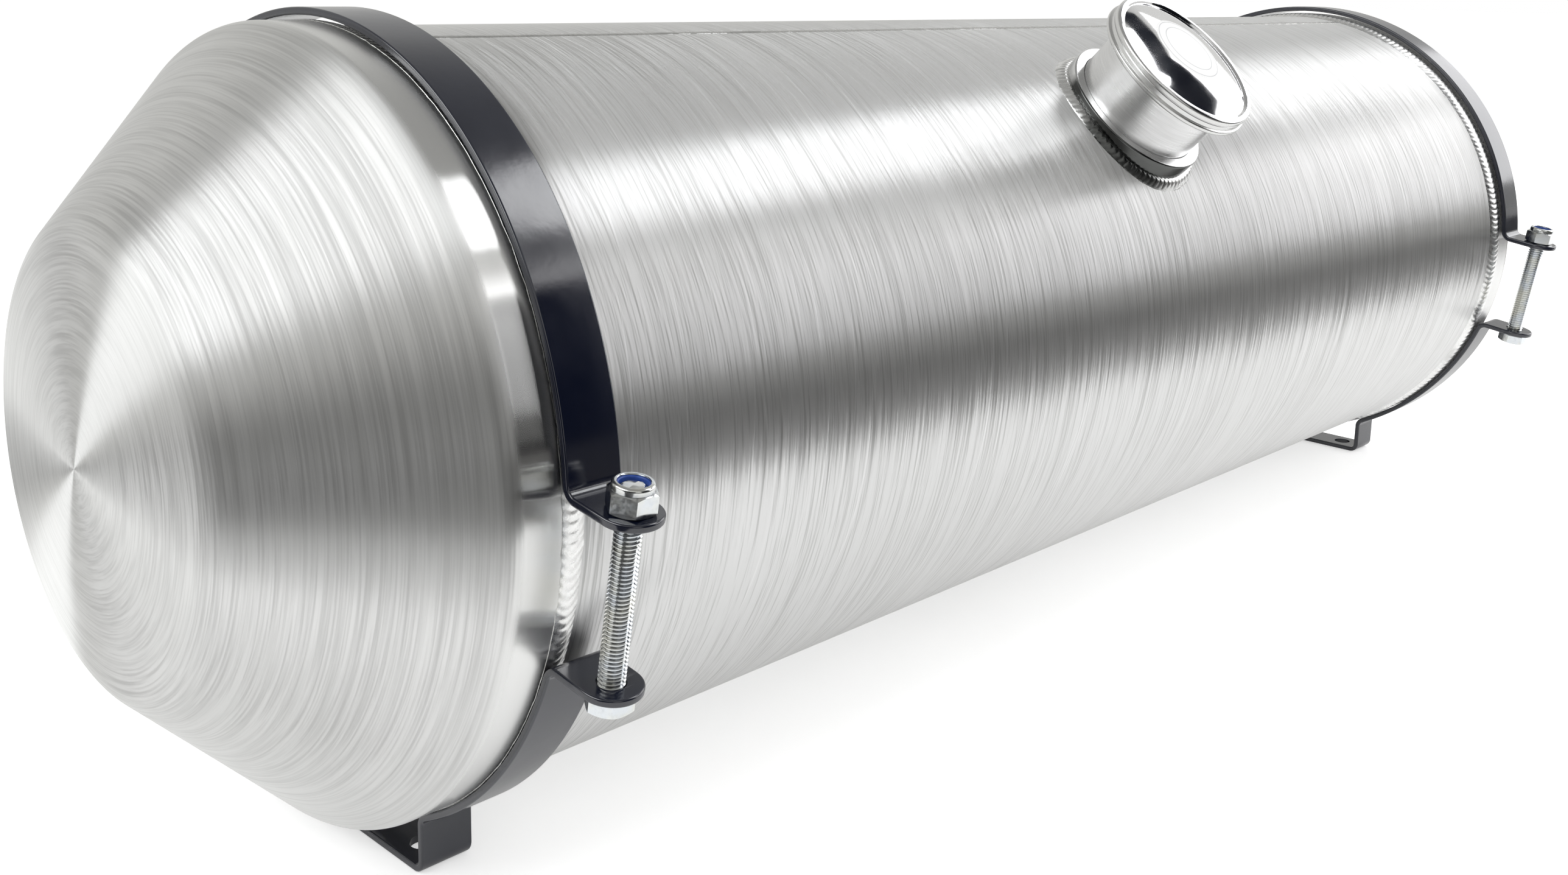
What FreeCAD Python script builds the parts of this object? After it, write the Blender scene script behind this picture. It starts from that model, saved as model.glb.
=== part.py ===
import FreeCAD, Part
import math
import os
import re
import Sketcher

# Spun aluminium fuel tank on two strap brackets, millimetres.
# +X runs along the tank from the near end to the far end, +Z is up, the ears of the straps face -Y.
# The origin is on the floor, midway between the two feet.

V = FreeCAD.Vector
X, Y, Z = V(1, 0, 0), V(0, 1, 0), V(0, 0, 1)

SIZES = [
    ("floor_gap", 8.6, "end caps clear of the floor"),
    ("barrel_radius", 127.0, "outside of the rolled barrel"),
    ("barrel_wall", 2.3, "sheet of the barrel"),
    ("cap_edge_span", 667.7, "between the edges of the two end caps"),
    ("near_strap_inset", 8.25, "middle of the near strap from the near cap's edge, towards the barrel"),
    ("far_strap_outset", 10.55, "middle of the far strap from the far cap's edge, onto the cap"),
    ("lap_length", 10.0, "barrel end inside the cap's flange"),
    ("lap_gap", 0.2, "barrel to flange, under the weld"),
    ("cap_wall", 1.7, "sheet of the end caps"),
    ("flange_length", 16.6, "cap edge to the corner of the cone"),
    ("cone_depth", 56.6, "corner of the cone to corner of the nose, along the axis"),
    ("nose_radius", 71.3, "corner between cone and nose"),
    ("nose_rise", 5.5, "domed nose above its corner"),
    ("shoulder_bend", 8.0, "outside bend between flange and cone"),
    ("nose_bend", 14.0, "outside bend between cone and nose"),
    ("girth_bead_width", 8.3, "weld along each cap edge"),
    ("girth_bead_sag", 0.6, "rise of the girth bead over its chord"),
    ("seam_bead_width", 3.0, "lengthwise seam of the barrel"),
    ("seam_bead_rise", 0.4, "seam above the barrel"),
    ("seam_angle", 78.0, "seam round the barrel, up from the ear side"),
    ("filler_angle", 45.0, "filler round the barrel, up from the ear side"),
    ("filler_ring_radius", 33.5, "thick ring welded to the barrel"),
    ("filler_ring_rise", 5.5, "top of the ring above the barrel"),
    ("filler_bead_width", 4.0, "weld round the ring"),
    ("filler_bead_rise", 2.6, "weld above the barrel"),
    ("neck_radius", 28.6, "outside of the filler neck"),
    ("neck_wall", 1.8, "wall of the filler neck"),
    ("neck_sink", 8.0, "inner end of the neck below the top of the barrel"),
    ("neck_rise", 28.3, "mouth of the neck above the barrel"),
    ("neck_gap", 0.15, "neck in its ring and in the barrel's hole"),
    ("lip_radius", 21.0, "hole in the lip turned in at the mouth"),
    ("lip_thickness", 1.5, "lip of the mouth"),
    ("notch_gap", 1.2, "round the cap's tabs in the lip's notches"),
    ("lip_gap", 0.3, "gasket above the lip"),
    ("gasket_hole", 21.5, "gasket hole"),
    ("gasket_radius", 28.0, "gasket rim"),
    ("gasket_thickness", 2.0, "gasket"),
    ("spring_radius", 27.0, "spring plate on the gasket"),
    ("spring_thickness", 0.6, "spring plate"),
    ("post_radius", 4.0, "post through the middle of the cap"),
    ("post_gap", 0.4, "post in the spring plate"),
    ("post_head_radius", 6.5, "peened head of the post"),
    ("post_head_height", 1.2, "peened head of the post"),
    ("plate_radius", 15.0, "disc of the locking plate"),
    ("plate_thickness", 1.5, "locking plate"),
    ("plate_gap", 0.7, "locking plate below the lip"),
    ("tab_reach", 24.2, "tip of each locking tab from the cap's axis"),
    ("tab_width", 10.0, "locking tab"),
    ("skirt_radius", 35.2, "skirt of the filler cap"),
    ("hem_reach", 0.8, "rolled hem beyond the skirt"),
    ("hem_height", 1.8, "rolled hem along the skirt"),
    ("cover_sheet", 0.8, "sheet of the filler cap"),
    ("skirt_lift", 0.1, "hem of the skirt above the mouth of the neck"),
    ("rim_rise", 7.5, "rim of the cap above the mouth of the neck"),
    ("rim_width", 2.6, "flat of the rim"),
    ("rim_step", 1.0, "step down inside the rim"),
    ("rim_bend", 1.4, "outside bend of the rim"),
    ("dome_rise", 4.2, "dome above the step"),
    ("outlet_angle", 50.0, "outlet round the barrel, down from the plain side"),
    ("outlet_inset", 133.85, "outlet from the far cap's edge, along X"),
    ("outlet_radius", 13.0, "outside of the outlet boss"),
    ("outlet_bore", 7.3, "bore of the outlet boss"),
    ("outlet_sink", 6.0, "inner end of the boss below the top of the barrel"),
    ("outlet_rise", 12.0, "outer end of the boss above the barrel"),
    ("outlet_bead_width", 2.6, "weld round the outlet boss"),
    ("outlet_bead_rise", 2.2, "weld above the barrel"),
    ("strap_width", 19.0, "flat bar of the straps"),
    ("strap_thickness", 2.5, "flat bar of the straps"),
    ("strap_gap", 0.3, "strap below the cap's flange"),
    ("strap_slack", 0.6, "middle of the strap's ring above the tank's axis"),
    ("strap_bend", 4.5, "middle line of each bend away from the tank"),
    ("foot_bend", 3.6, "middle line of each corner of the foot"),
    ("foot_half_width", 57.0, "outside of each leg from the middle"),
    ("foot_hole_offset", 43.0, "foot holes from the middle"),
    ("foot_hole_radius", 4.5, "foot holes"),
    ("ear_angle", -8.9, "bolt round the tank, up from the ear side"),
    ("ear_gap", 49.6, "between the two ears"),
    ("bolt_reach", 12.2, "bolt from the outside of the strap"),
    ("bolt_radius", 4.0, "threaded shank"),
    ("bolt_clearance", 0.4, "shank in the ears' holes"),
    ("bolt_end", 7.4, "end of the bolt beyond the upper ear"),
    ("hex_flats", 13.0, "across the flats of head and nut"),
    ("head_height", 5.3, "bolt head"),
    ("nut_height", 6.3, "hexagon of the nut"),
    ("collar_radius", 6.1, "round collar above the hexagon"),
    ("collar_height", 2.2, "collar above the hexagon"),
    ("collar_lip", 0.4, "crimped edge over the insert"),
    ("insert_wall", 1.1, "nylon ring, outside the shank"),
    ("insert_height", 1.6, "nylon ring"),
    ("thread_fit", 0.05, "nut and insert round the shank"),
]
NAMES = [name for name, _, _ in SIZES]

FLANGE = "(barrel_radius + lap_gap + cap_wall)"
AXIS = f"({FLANGE} + floor_gap)"
TANK_OFFSET = "(-(near_strap_inset + far_strap_outset) / 2)"
STRAP_SPACING = "(cap_edge_span - near_strap_inset + far_strap_outset)"
OUTLET_OFFSET = "(cap_edge_span / 2 - outlet_inset)"
OUTLET_FOOT = "(barrel_radius - outlet_sink)"
NECK_FOOT = "(barrel_radius - neck_sink)"
NECK_TOP = "(barrel_radius + neck_rise)"
RIM_TOP = f"({NECK_TOP} + rim_rise)"
SKIRT_FOOT = f"({NECK_TOP} + skirt_lift)"
STRAP_RING = f"({FLANGE} + strap_gap + strap_slack)"
STRAP_AXIS = f"({AXIS} + strap_slack)"
BOLT = f"({STRAP_RING} + strap_thickness + bolt_reach)"
PLATE_FOOT = f"({NECK_TOP} - lip_thickness - plate_gap - plate_thickness)"
DOME_FOOT = f"({RIM_TOP} - rim_step)"
DOME_EDGE = "(skirt_radius - rim_width - rim_step)"
DOME_BEND = f"(({DOME_EDGE} ^ 2 + dome_rise ^ 2) / (2 * dome_rise))"
EAR_FACE = "(ear_gap / 2 + strap_thickness)"

doc = FreeCAD.newDocument("fuel_tank")
sheet = doc.addObject("Spreadsheet::Sheet", "Sizes")
subparts = []


def fill_sheet():
    for row, (name, value, note) in enumerate(SIZES, start=1):
        sheet.set(f"A{row}", note)
        sheet.set(f"B{row}", str(value))
        sheet.setAlias(f"B{row}", name)
    doc.recompute()


def cell(text):
    """Name the sheet in front of each size in an expression."""
    return re.sub(r"[a-z_]+", lambda word: "Sizes." + word[0] if word[0] in NAMES else word[0], text)


def size(text):
    """Value of an expression of sizes."""
    return float(sheet.evalExpression(cell(text)))


def bind(obj, links):
    for prop, text in links.items():
        obj.setExpression(prop, cell(text))
    return obj


# Places: each piece is built round its own upright axis and then set in the tank

def place(obj, axis, angle, x="0", y="0", z=AXIS):
    obj.Placement = FreeCAD.Placement(V(size(x), size(y), size(z)), FreeCAD.Rotation(axis, size(angle)))
    bind(obj, {"Placement.Base.x": x, "Placement.Base.y": y, "Placement.Base.z": z})
    return bind(obj, {"Placement.Rotation.Angle": angle})


def keep(obj, label):
    obj.Label = label
    subparts.append(obj)


def keep_filler(obj, label):
    """The piece's +Z runs out through the filler, from the tank's axis."""
    keep(place(obj, X, "90 - filler_angle", TANK_OFFSET), label)


def keep_outlet(obj, label):
    """The piece's +Z runs out through the outlet, from the tank's axis."""
    keep(place(obj, -X, "90 + outlet_angle", f"{TANK_OFFSET} + {OUTLET_OFFSET}"), label)


def keep_end(obj, label, side):
    """The piece's +Z runs out through an end cap, from the cap's edge."""
    keep(place(obj, Y * side, "90", f"{TANK_OFFSET} + {side} * cap_edge_span / 2"), label)


def keep_fastener(obj, label, side):
    """The piece's +Z runs along the bolt from head to nut, from midway between the ears."""
    keep(place(obj, X, "-ear_angle", f"{side} * {STRAP_SPACING} / 2", f"-{BOLT} * cos(ear_angle * 1 deg)",
               f"{STRAP_AXIS} + {BOLT} * sin(ear_angle * 1 deg)"), label)


# Plain solids, centred on the upright axis or lying along X

def cylinder(name, radius, start, length):
    obj = doc.addObject("Part::Cylinder", name)
    return bind(obj, {"Radius": radius, "Height": length, "Placement.Base.z": start})


def lying_cylinder(name, radius, half_length):
    obj = doc.addObject("Part::Cylinder", name)
    obj.Placement.Rotation = FreeCAD.Rotation(Y, 90)
    return bind(obj, {"Radius": radius, "Height": f"2 * ({half_length})",
                      "Placement.Base.x": f"-({half_length})"})


def block(name, length, width, height, start):
    obj = doc.addObject("Part::Box", name)
    bind(obj, {"Length": length, "Width": width, "Height": height})
    return bind(obj, {"Placement.Base.x": f"-({length}) / 2", "Placement.Base.y": f"-({width}) / 2",
                      "Placement.Base.z": start})


def hexagon(name, flats, start, length):
    obj = doc.addObject("Part::Prism", name)
    obj.Polygon = 6
    return bind(obj, {"Circumradius": f"({flats}) / sqrt(3)", "Height": length, "Placement.Base.z": start})


def boolean(kind, name, base, tool):
    obj = doc.addObject("Part::" + kind, name)
    obj.Base = base
    obj.Tool = tool
    return obj


def tube(name, outer, inner, start, length):
    return boolean("Cut", name, cylinder(name + "_outside", outer, start, length),
                   cylinder(name + "_inside", inner, start, length))


def lying_tube(name, outer, inner, half_length):
    return boolean("Cut", name, lying_cylinder(name + "_outside", outer, half_length),
                   lying_cylinder(name + "_inside", inner, half_length))


# Turned pieces: a closed outline of (radius, height) corners, turned about the upright axis

def curve(start, end, radius, side):
    """Short arc between two corners, bulging to the left of the way when side is 1."""
    chord = end - start
    sag = radius - math.sqrt(radius ** 2 - (chord.Length / 2) ** 2)
    middle = (start + end) / 2 + V(-chord.y, chord.x, 0).normalize() * sag * side
    return Part.Arc(start, middle, end)


def hold_centre(sketch, arc, start, end, radius, side):
    """Fix an arc's centre on the side that its bulge needs, along the axis that its chord crosses."""
    (r1, h1), (r2, h2) = start, end
    reach = f"sqrt(({radius}) ^ 2 / ((({r2}) - ({r1})) ^ 2 + (({h2}) - ({h1})) ^ 2) - 1 / 4)"
    if abs(size(f"({h2}) - ({h1})")) > abs(size(f"({r2}) - ({r1})")):
        hold(sketch, "DistanceX", f"(({r1}) + ({r2})) / 2 + {side} * (({h2}) - ({h1})) * {reach}",
             -1, 1, arc, 3)
    else:
        hold(sketch, "DistanceY", f"(({h1}) + ({h2})) / 2 - {side} * (({r2}) - ({r1})) * {reach}",
             -1, 1, arc, 3)


def outline(sketch, corners, arcs):
    """Closed outline through corners of radius and height, each an expression, some joined by arcs."""
    points = [V(size(radius), size(height), 0) for radius, height in corners]
    ends = []
    for i, start in enumerate(points):
        end = points[(i + 1) % len(points)]
        edge = curve(start, end, size(arcs[i][0]), arcs[i][1]) if i in arcs else Part.LineSegment(start, end)
        k = sketch.addGeometry(edge)
        first = 1 if (sketch.getPoint(k, 1) - start).Length < 1e-6 else 2
        ends.append((k, first))
    for i, (k, first) in enumerate(ends):
        after, begin = ends[(i + 1) % len(ends)]
        sketch.addConstraint(Sketcher.Constraint("Coincident", k, 3 - first, after, begin))
        for kind, text in zip(("DistanceX", "DistanceY"), corners[i]):
            hold(sketch, kind, text, -1, 1, k, first)
    for i, (radius, side) in arcs.items():
        hold_centre(sketch, ends[i][0], corners[i], corners[(i + 1) % len(corners)], radius, side)


def hold(sketch, kind, text, *places):
    """Dimension of a sketch that follows an expression."""
    number = sketch.addConstraint(Sketcher.Constraint(kind, *places, size(text)))
    sketch.setExpression(f"Constraints[{number}]", cell(text))


def turned(name, corners, arcs):
    body = doc.addObject("PartDesign::Body", name)
    sketch = body.newObject("Sketcher::SketchObject", name + "_outline")
    plane = next(feature for feature in body.Origin.OriginFeatures if feature.Role == "XZ_Plane")
    sketch.AttachmentSupport = [(plane, "")]
    sketch.MapMode = "FlatFace"
    outline(sketch, corners, arcs)
    turn = body.newObject("PartDesign::Revolution", name + "_turn")
    turn.Profile = sketch
    turn.ReferenceAxis = (sketch, ["V_Axis"])
    turn.Angle = 360
    return body


def round_corner(body, name, corner, bend):
    """Round the circular edge that a corner of the outline makes."""
    doc.recompute()
    radius, height = size(corner[0]), size(corner[1])
    found = []
    for i, edge in enumerate(body.Tip.Shape.Edges, start=1):
        if edge.Degenerated or not isinstance(edge.Curve, Part.Circle):
            continue
        if (edge.Curve.Center - V(0, 0, height)).Length < 0.01 and abs(edge.Curve.Radius - radius) < 0.01:
            found.append(f"Edge{i}")
    base = body.Tip
    fillet = body.newObject("PartDesign::Fillet", name)
    fillet.Base = (base, found)
    bind(fillet, {"Radius": bend})


# Barrel and end caps

def hole_through(name, radius, axis, angle, x, y, z):
    """Drill from halfway out in the barrel; x, y and z are its start."""
    drill = doc.addObject("Part::Cylinder", name)
    drill.Placement.Rotation = FreeCAD.Rotation(axis, size(angle))
    return bind(drill, {"Radius": radius, "Height": "barrel_radius", "Placement.Rotation.Angle": angle,
                        "Placement.Base.x": x, "Placement.Base.y": y, "Placement.Base.z": z})


def barrel():
    rolled = lying_tube("barrel_sheet", "barrel_radius", "barrel_radius - barrel_wall",
                        "cap_edge_span / 2 + lap_length")
    filler = hole_through("barrel_filler_hole", "neck_radius + neck_gap", X, "90 - filler_angle", "0",
                          "-barrel_radius / 2 * cos(filler_angle * 1 deg)",
                          "barrel_radius / 2 * sin(filler_angle * 1 deg)")
    outlet = hole_through("barrel_outlet_hole", "outlet_radius + neck_gap", -X, "90 + outlet_angle",
                          OUTLET_OFFSET, "barrel_radius / 2 * cos(outlet_angle * 1 deg)",
                          "-barrel_radius / 2 * sin(outlet_angle * 1 deg)")
    drilled = boolean("Cut", "barrel_with_filler_hole", rolled, filler)
    keep(place(boolean("Cut", "barrel", drilled, outlet), X, "0", TANK_OFFSET), "barrel")


def end_cap(label, side):
    """Flange that slips over the barrel, straight cone and shallow nose of one even sheet."""
    inner = "(barrel_radius + lap_gap)"
    top = "(flange_length + cone_depth + nose_rise)"
    dome = "((nose_radius ^ 2 + nose_rise ^ 2) / (2 * nose_rise))"
    lean = f"atan(({FLANGE} - nose_radius) / cone_depth)"
    slope = f"asin(nose_radius / {dome})"
    inset = f"cap_wall / (1 + sin({lean} + {slope}))"
    shoulder = (FLANGE, "flange_length")
    nose = ("nose_radius", "flange_length + cone_depth")
    inner_nose = (f"{nose[0]} - {inset} * (cos({lean}) + sin({slope}))",
                  f"{nose[1]} - {inset} * (sin({lean}) + cos({slope}))")
    inner_shoulder = (inner, f"flange_length - cap_wall * tan({lean} / 2)")
    corners = [(inner, "0"), (FLANGE, "0"), shoulder, nose, ("0", top), ("0", f"{top} - cap_wall"),
               inner_nose, inner_shoulder]
    body = turned(label, corners, {3: (dome, -1), 5: (f"{dome} - cap_wall", 1)})
    round_corner(body, label + "_outer_shoulder", shoulder, "shoulder_bend")
    round_corner(body, label + "_inner_shoulder", inner_shoulder, "shoulder_bend - cap_wall")
    round_corner(body, label + "_outer_nose", nose, "nose_bend")
    round_corner(body, label + "_inner_nose", inner_nose, "nose_bend - cap_wall")
    keep_end(body, label, side)


def girth_weld(label, side):
    """Weld from the cap's edge down to the barrel."""
    chord_squared = "((cap_wall + lap_gap) ^ 2 + girth_bead_width ^ 2)"
    bend = f"({chord_squared} / 4 + girth_bead_sag ^ 2) / (2 * girth_bead_sag)"
    corners = [("barrel_radius", "-girth_bead_width"), ("barrel_radius", "0"), (FLANGE, "0")]
    keep_end(turned(label, corners, {2: (bend, 1)}), label, side)


def seam_weld():
    """Lengthwise bead between the two girth welds."""
    half = "(cap_edge_span / 2 - girth_bead_width)"
    skin = lying_tube("seam_skin", "barrel_radius + seam_bead_rise", "barrel_radius", half)
    bar = block("seam_bar", f"2 * {half}", "seam_bead_width", "2 * barrel_wall",
                "barrel_radius - barrel_wall")
    keep(place(boolean("Common", "seam_weld", skin, bar), X, "90 - seam_angle", TANK_OFFSET), "seam_weld")


def boss_weld(name, radius, width, rise):
    """Even bead round a boss, following the barrel."""
    skin = lying_tube(name + "_skin", f"barrel_radius + {rise}", "barrel_radius", f"2 * ({radius})")
    ring = tube(name + "_ring", f"{radius} + {width}", radius, "barrel_radius / 2", "barrel_radius")
    return boolean("Common", name, skin, ring)


# Filler and outlet

def filler_ring():
    ring = tube("filler_ring_blank", "filler_ring_radius", "neck_radius + neck_gap", "barrel_radius / 2",
                "barrel_radius / 2 + filler_ring_rise")
    core = lying_cylinder("filler_ring_core", "barrel_radius", "2 * filler_ring_radius")
    keep_filler(boolean("Cut", "filler_ring", ring, core), "filler_ring")


def filler_neck():
    """Tube with a lip turned in at the mouth, notched for the cap's tabs."""
    bore = "neck_radius - neck_wall"
    under = f"{NECK_TOP} - lip_thickness"
    corners = [(bore, NECK_FOOT), ("neck_radius", NECK_FOOT), ("neck_radius", NECK_TOP),
               ("lip_radius", NECK_TOP), ("lip_radius", under), (bore, under)]
    notch = block("filler_notches", "2 * (tab_reach + notch_gap)", "tab_width + 2 * notch_gap",
                  "3 * lip_thickness", f"{NECK_TOP} - 2 * lip_thickness")
    keep_filler(boolean("Cut", "filler_neck", turned("filler_neck_tube", corners, {}), notch), "filler_neck")


def outlet_boss():
    boss = tube("outlet_boss", "outlet_radius", "outlet_bore", OUTLET_FOOT, "outlet_sink + outlet_rise")
    keep_outlet(boss, "outlet_boss")


# Filler cap

def cap_cover():
    """Pressed cover with a rolled hem, a flat rim and a shallow dome."""
    hem = "skirt_radius + hem_reach"
    hem_top = f"{SKIRT_FOOT} + hem_height"
    inner = "skirt_radius - cover_sheet"
    flat = "skirt_radius - rim_width"
    rim = ("skirt_radius", RIM_TOP)
    crown = f"{DOME_FOOT} + dome_rise"
    corners = [(inner, SKIRT_FOOT), (hem, SKIRT_FOOT), (hem, hem_top),
               ("skirt_radius", f"{hem_top} + hem_reach"), rim, (flat, RIM_TOP), (DOME_EDGE, DOME_FOOT),
               ("0", crown), ("0", f"{crown} - cover_sheet"), (DOME_EDGE, f"{DOME_FOOT} - cover_sheet"),
               (flat, f"{RIM_TOP} - cover_sheet"), (inner, f"{RIM_TOP} - cover_sheet")]
    body = turned("cap_cover", corners, {6: (DOME_BEND, -1), 8: (DOME_BEND, 1)})
    round_corner(body, "cap_cover_rim", rim, "rim_bend")
    keep_filler(body, "cap_cover")


def cap_post():
    """Post from its peened head under the locking plate up to the underside of the dome."""
    head_foot = f"{PLATE_FOOT} - post_head_height"
    crown = f"{DOME_FOOT} + dome_rise - cover_sheet"
    edge = f"{crown} - {DOME_BEND} + sqrt({DOME_BEND} ^ 2 - post_radius ^ 2)"
    corners = [("0", head_foot), ("post_head_radius", head_foot), ("post_head_radius", PLATE_FOOT),
               ("post_radius", PLATE_FOOT), ("post_radius", edge), ("0", crown)]
    keep_filler(turned("cap_post", corners, {4: (DOME_BEND, -1)}), "cap_post")


def locking_plate():
    """Disc with two tabs that pass the notches and turn under the lip."""
    disc = cylinder("locking_disc", "plate_radius", PLATE_FOOT, "plate_thickness")
    bar = block("locking_bar", "2 * tab_reach", "tab_width", "plate_thickness", PLATE_FOOT)
    hole = cylinder("locking_hole", "post_radius", PLATE_FOOT, "plate_thickness")
    plate = boolean("Fuse", "locking_blank", disc, bar)
    keep_filler(boolean("Cut", "locking_plate", plate, hole), "locking_plate")


def cap_seal():
    """Gasket on the lip and the spring plate that presses it."""
    foot = f"{NECK_TOP} + lip_gap"
    keep_filler(tube("gasket", "gasket_radius", "gasket_hole", foot, "gasket_thickness"), "gasket")
    keep_filler(tube("spring_plate", "spring_radius", "post_radius + post_gap", f"{foot} + gasket_thickness",
                     "spring_thickness"), "spring_plate")


# Straps: one flat bar from ear to ear, with the foot bent in it

def bend_to_run(ring, bend, offset, away, side):
    """Bend that joins the ring to a straight run leaving it.

    The run is parallel to away and lies beside the tank's axis by offset, towards side.
    Returns the point on the ring, the middle of the bend and the point on the run.
    """
    centre = away * math.sqrt((ring + bend) ** 2 - (offset + bend) ** 2) + side * (offset + bend)
    on_ring = centre * (ring / (ring + bend))
    on_run = centre - side * bend
    middle = centre + (on_ring + on_run - centre * 2).normalize() * bend
    return on_ring, middle, on_run


def round_ring(start, end):
    """Arc round the tank's axis, clockwise with the ears on the left."""
    first = math.atan2(start.z, start.y)
    last = math.atan2(end.z, end.y)
    if last > first:
        last -= 2 * math.pi
    middle = (first + last) / 2
    return Part.Arc(start, V(0, math.cos(middle), math.sin(middle)) * start.Length, end)


def foot_corner(leg, floor, bend, side):
    """Corner between a leg and the foot's flat, from the leg."""
    centre = V(0, side * (leg - bend), floor + bend)
    diagonal = V(0, side, -1).normalize()
    return centre + Y * side * bend, centre + diagonal * bend, centre - Z * bend


def strap_line(shift):
    """Edges along the bar from the upper ear to the lower ear, moved away from the tank by shift."""
    ring = size(f"{STRAP_RING} + strap_thickness / 2") + shift
    bend = size("strap_bend") - shift
    corner = size("foot_bend") + shift
    leg = size("foot_half_width - strap_thickness / 2") + shift
    floor = size(f"strap_thickness / 2 - {STRAP_AXIS}") - shift
    ear = size("(ear_gap + strap_thickness) / 2") + shift
    tip = size(f"{BOLT} + strap_width / 2")
    angle = math.radians(size("ear_angle"))
    out = V(0, -math.cos(angle), math.sin(angle))
    up = V(0, math.sin(angle), math.cos(angle))
    upper = bend_to_run(ring, bend, ear, out, up)
    plain_leg = bend_to_run(ring, bend, leg, -Z, Y)
    ear_leg = bend_to_run(ring, bend, leg, -Z, -Y)
    lower = bend_to_run(ring, bend, ear, out, -up)
    plain_foot = foot_corner(leg, floor, corner, 1)
    ear_foot = foot_corner(leg, floor, corner, -1)
    return [
        Part.LineSegment(out * tip + up * ear, upper[2]),
        Part.Arc(upper[2], upper[1], upper[0]),
        round_ring(upper[0], plain_leg[0]),
        Part.Arc(plain_leg[0], plain_leg[1], plain_leg[2]),
        Part.LineSegment(plain_leg[2], plain_foot[0]),
        Part.Arc(plain_foot[0], plain_foot[1], plain_foot[2]),
        Part.LineSegment(plain_foot[2], ear_foot[2]),
        Part.Arc(ear_foot[2], ear_foot[1], ear_foot[0]),
        Part.LineSegment(ear_foot[0], ear_leg[2]),
        Part.Arc(ear_leg[2], ear_leg[1], ear_leg[0]),
        round_ring(ear_leg[0], lower[0]),
        Part.Arc(lower[0], lower[1], lower[2]),
        Part.LineSegment(lower[2], out * tip - up * ear),
    ]


def strap_bar(name):
    half = size("strap_thickness / 2")
    outer = strap_line(half)
    inner = strap_line(-half)
    tips = [Part.LineSegment(outer[0].StartPoint, inner[0].StartPoint),
            Part.LineSegment(outer[-1].EndPoint, inner[-1].EndPoint)]
    edges = [piece.toShape() for piece in outer + inner + tips]
    face = Part.Face(Part.Wire(Part.sortEdges(edges)[0]))
    width = size("strap_width")
    face.translate(X * (-width / 2))
    bar = doc.addObject("Part::Feature", name)
    bar.Shape = face.extrude(X * width)
    return bar


def ear_cutter(name):
    """Cuts both ears to a half round about the bolt and drills them."""
    start, length = f"-{EAR_FACE} - strap_thickness", f"2 * ({EAR_FACE} + strap_thickness)"
    square = doc.addObject("Part::Box", name + "_square")
    bind(square, {"Length": "2 * strap_width", "Width": "strap_width", "Height": length,
                  "Placement.Base.x": "-strap_width", "Placement.Base.y": "-strap_width",
                  "Placement.Base.z": start})
    ends = boolean("Cut", name + "_ends", square, cylinder(name + "_round", "strap_width / 2", start, length))
    drill = cylinder(name + "_drill", "bolt_radius + bolt_clearance", start, length)
    cutter = boolean("Fuse", name, ends, drill)
    cutter.Placement = FreeCAD.Placement(V(0, 0, 0), FreeCAD.Rotation(X, size("-ear_angle")))
    return bind(cutter, {"Placement.Rotation.Angle": "-ear_angle",
                         "Placement.Base.y": f"-{BOLT} * cos(ear_angle * 1 deg)",
                         "Placement.Base.z": f"{BOLT} * sin(ear_angle * 1 deg)"})


def foot_hole(name, side):
    hole = cylinder(name, "foot_hole_radius", f"-{STRAP_AXIS} - strap_thickness", "3 * strap_thickness")
    return bind(hole, {"Placement.Base.y": f"{side} * foot_hole_offset"})


def strap(label, side):
    cutters = doc.addObject("Part::MultiFuse", label + "_cutters")
    cutters.Shapes = [ear_cutter(label + "_ear_cutter"), foot_hole(label + "_plain_hole", 1),
                      foot_hole(label + "_ear_hole", -1)]
    bar = boolean("Cut", label, strap_bar(label + "_bar"), cutters)
    keep(place(bar, X, "0", f"{side} * {STRAP_SPACING} / 2", z=STRAP_AXIS), label)


# Fasteners

def bolt(label, side):
    start = f"-{EAR_FACE}"
    head = hexagon(label + "_head", "hex_flats", f"{start} - head_height", "head_height")
    shank = cylinder(label + "_shank", "bolt_radius", start, f"2 * {EAR_FACE} + bolt_end")
    keep_fastener(boolean("Fuse", label, head, shank), label, side)


def nut(label, side):
    """Lock nut: hexagon with a collar crimped over the nylon insert."""
    bore = "bolt_radius + thread_fit"
    pocket = f"{bore} + insert_wall + thread_fit"
    top = f"{EAR_FACE} + nut_height"
    flats = hexagon(label + "_hexagon", "hex_flats", EAR_FACE, "nut_height")
    collar = cylinder(label + "_collar", "collar_radius", top, "collar_height")
    thread = cylinder(label + "_bore", bore, EAR_FACE, "nut_height")
    hollow = cylinder(label + "_pocket", pocket, top, "collar_height - collar_lip")
    mouth = cylinder(label + "_mouth", f"{bore} + insert_wall / 2", top, "collar_height")
    blank = boolean("Fuse", label + "_blank", flats, collar)
    drilled = boolean("Cut", label + "_drilled", blank, thread)
    opened = boolean("Cut", label + "_opened", drilled, hollow)
    keep_fastener(boolean("Cut", label, opened, mouth), label, side)


def lock_ring(label, side):
    bore = "bolt_radius + thread_fit"
    keep_fastener(tube(label, f"{bore} + insert_wall", bore, f"{EAR_FACE} + nut_height + thread_fit",
                       "insert_height"), label, side)


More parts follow.
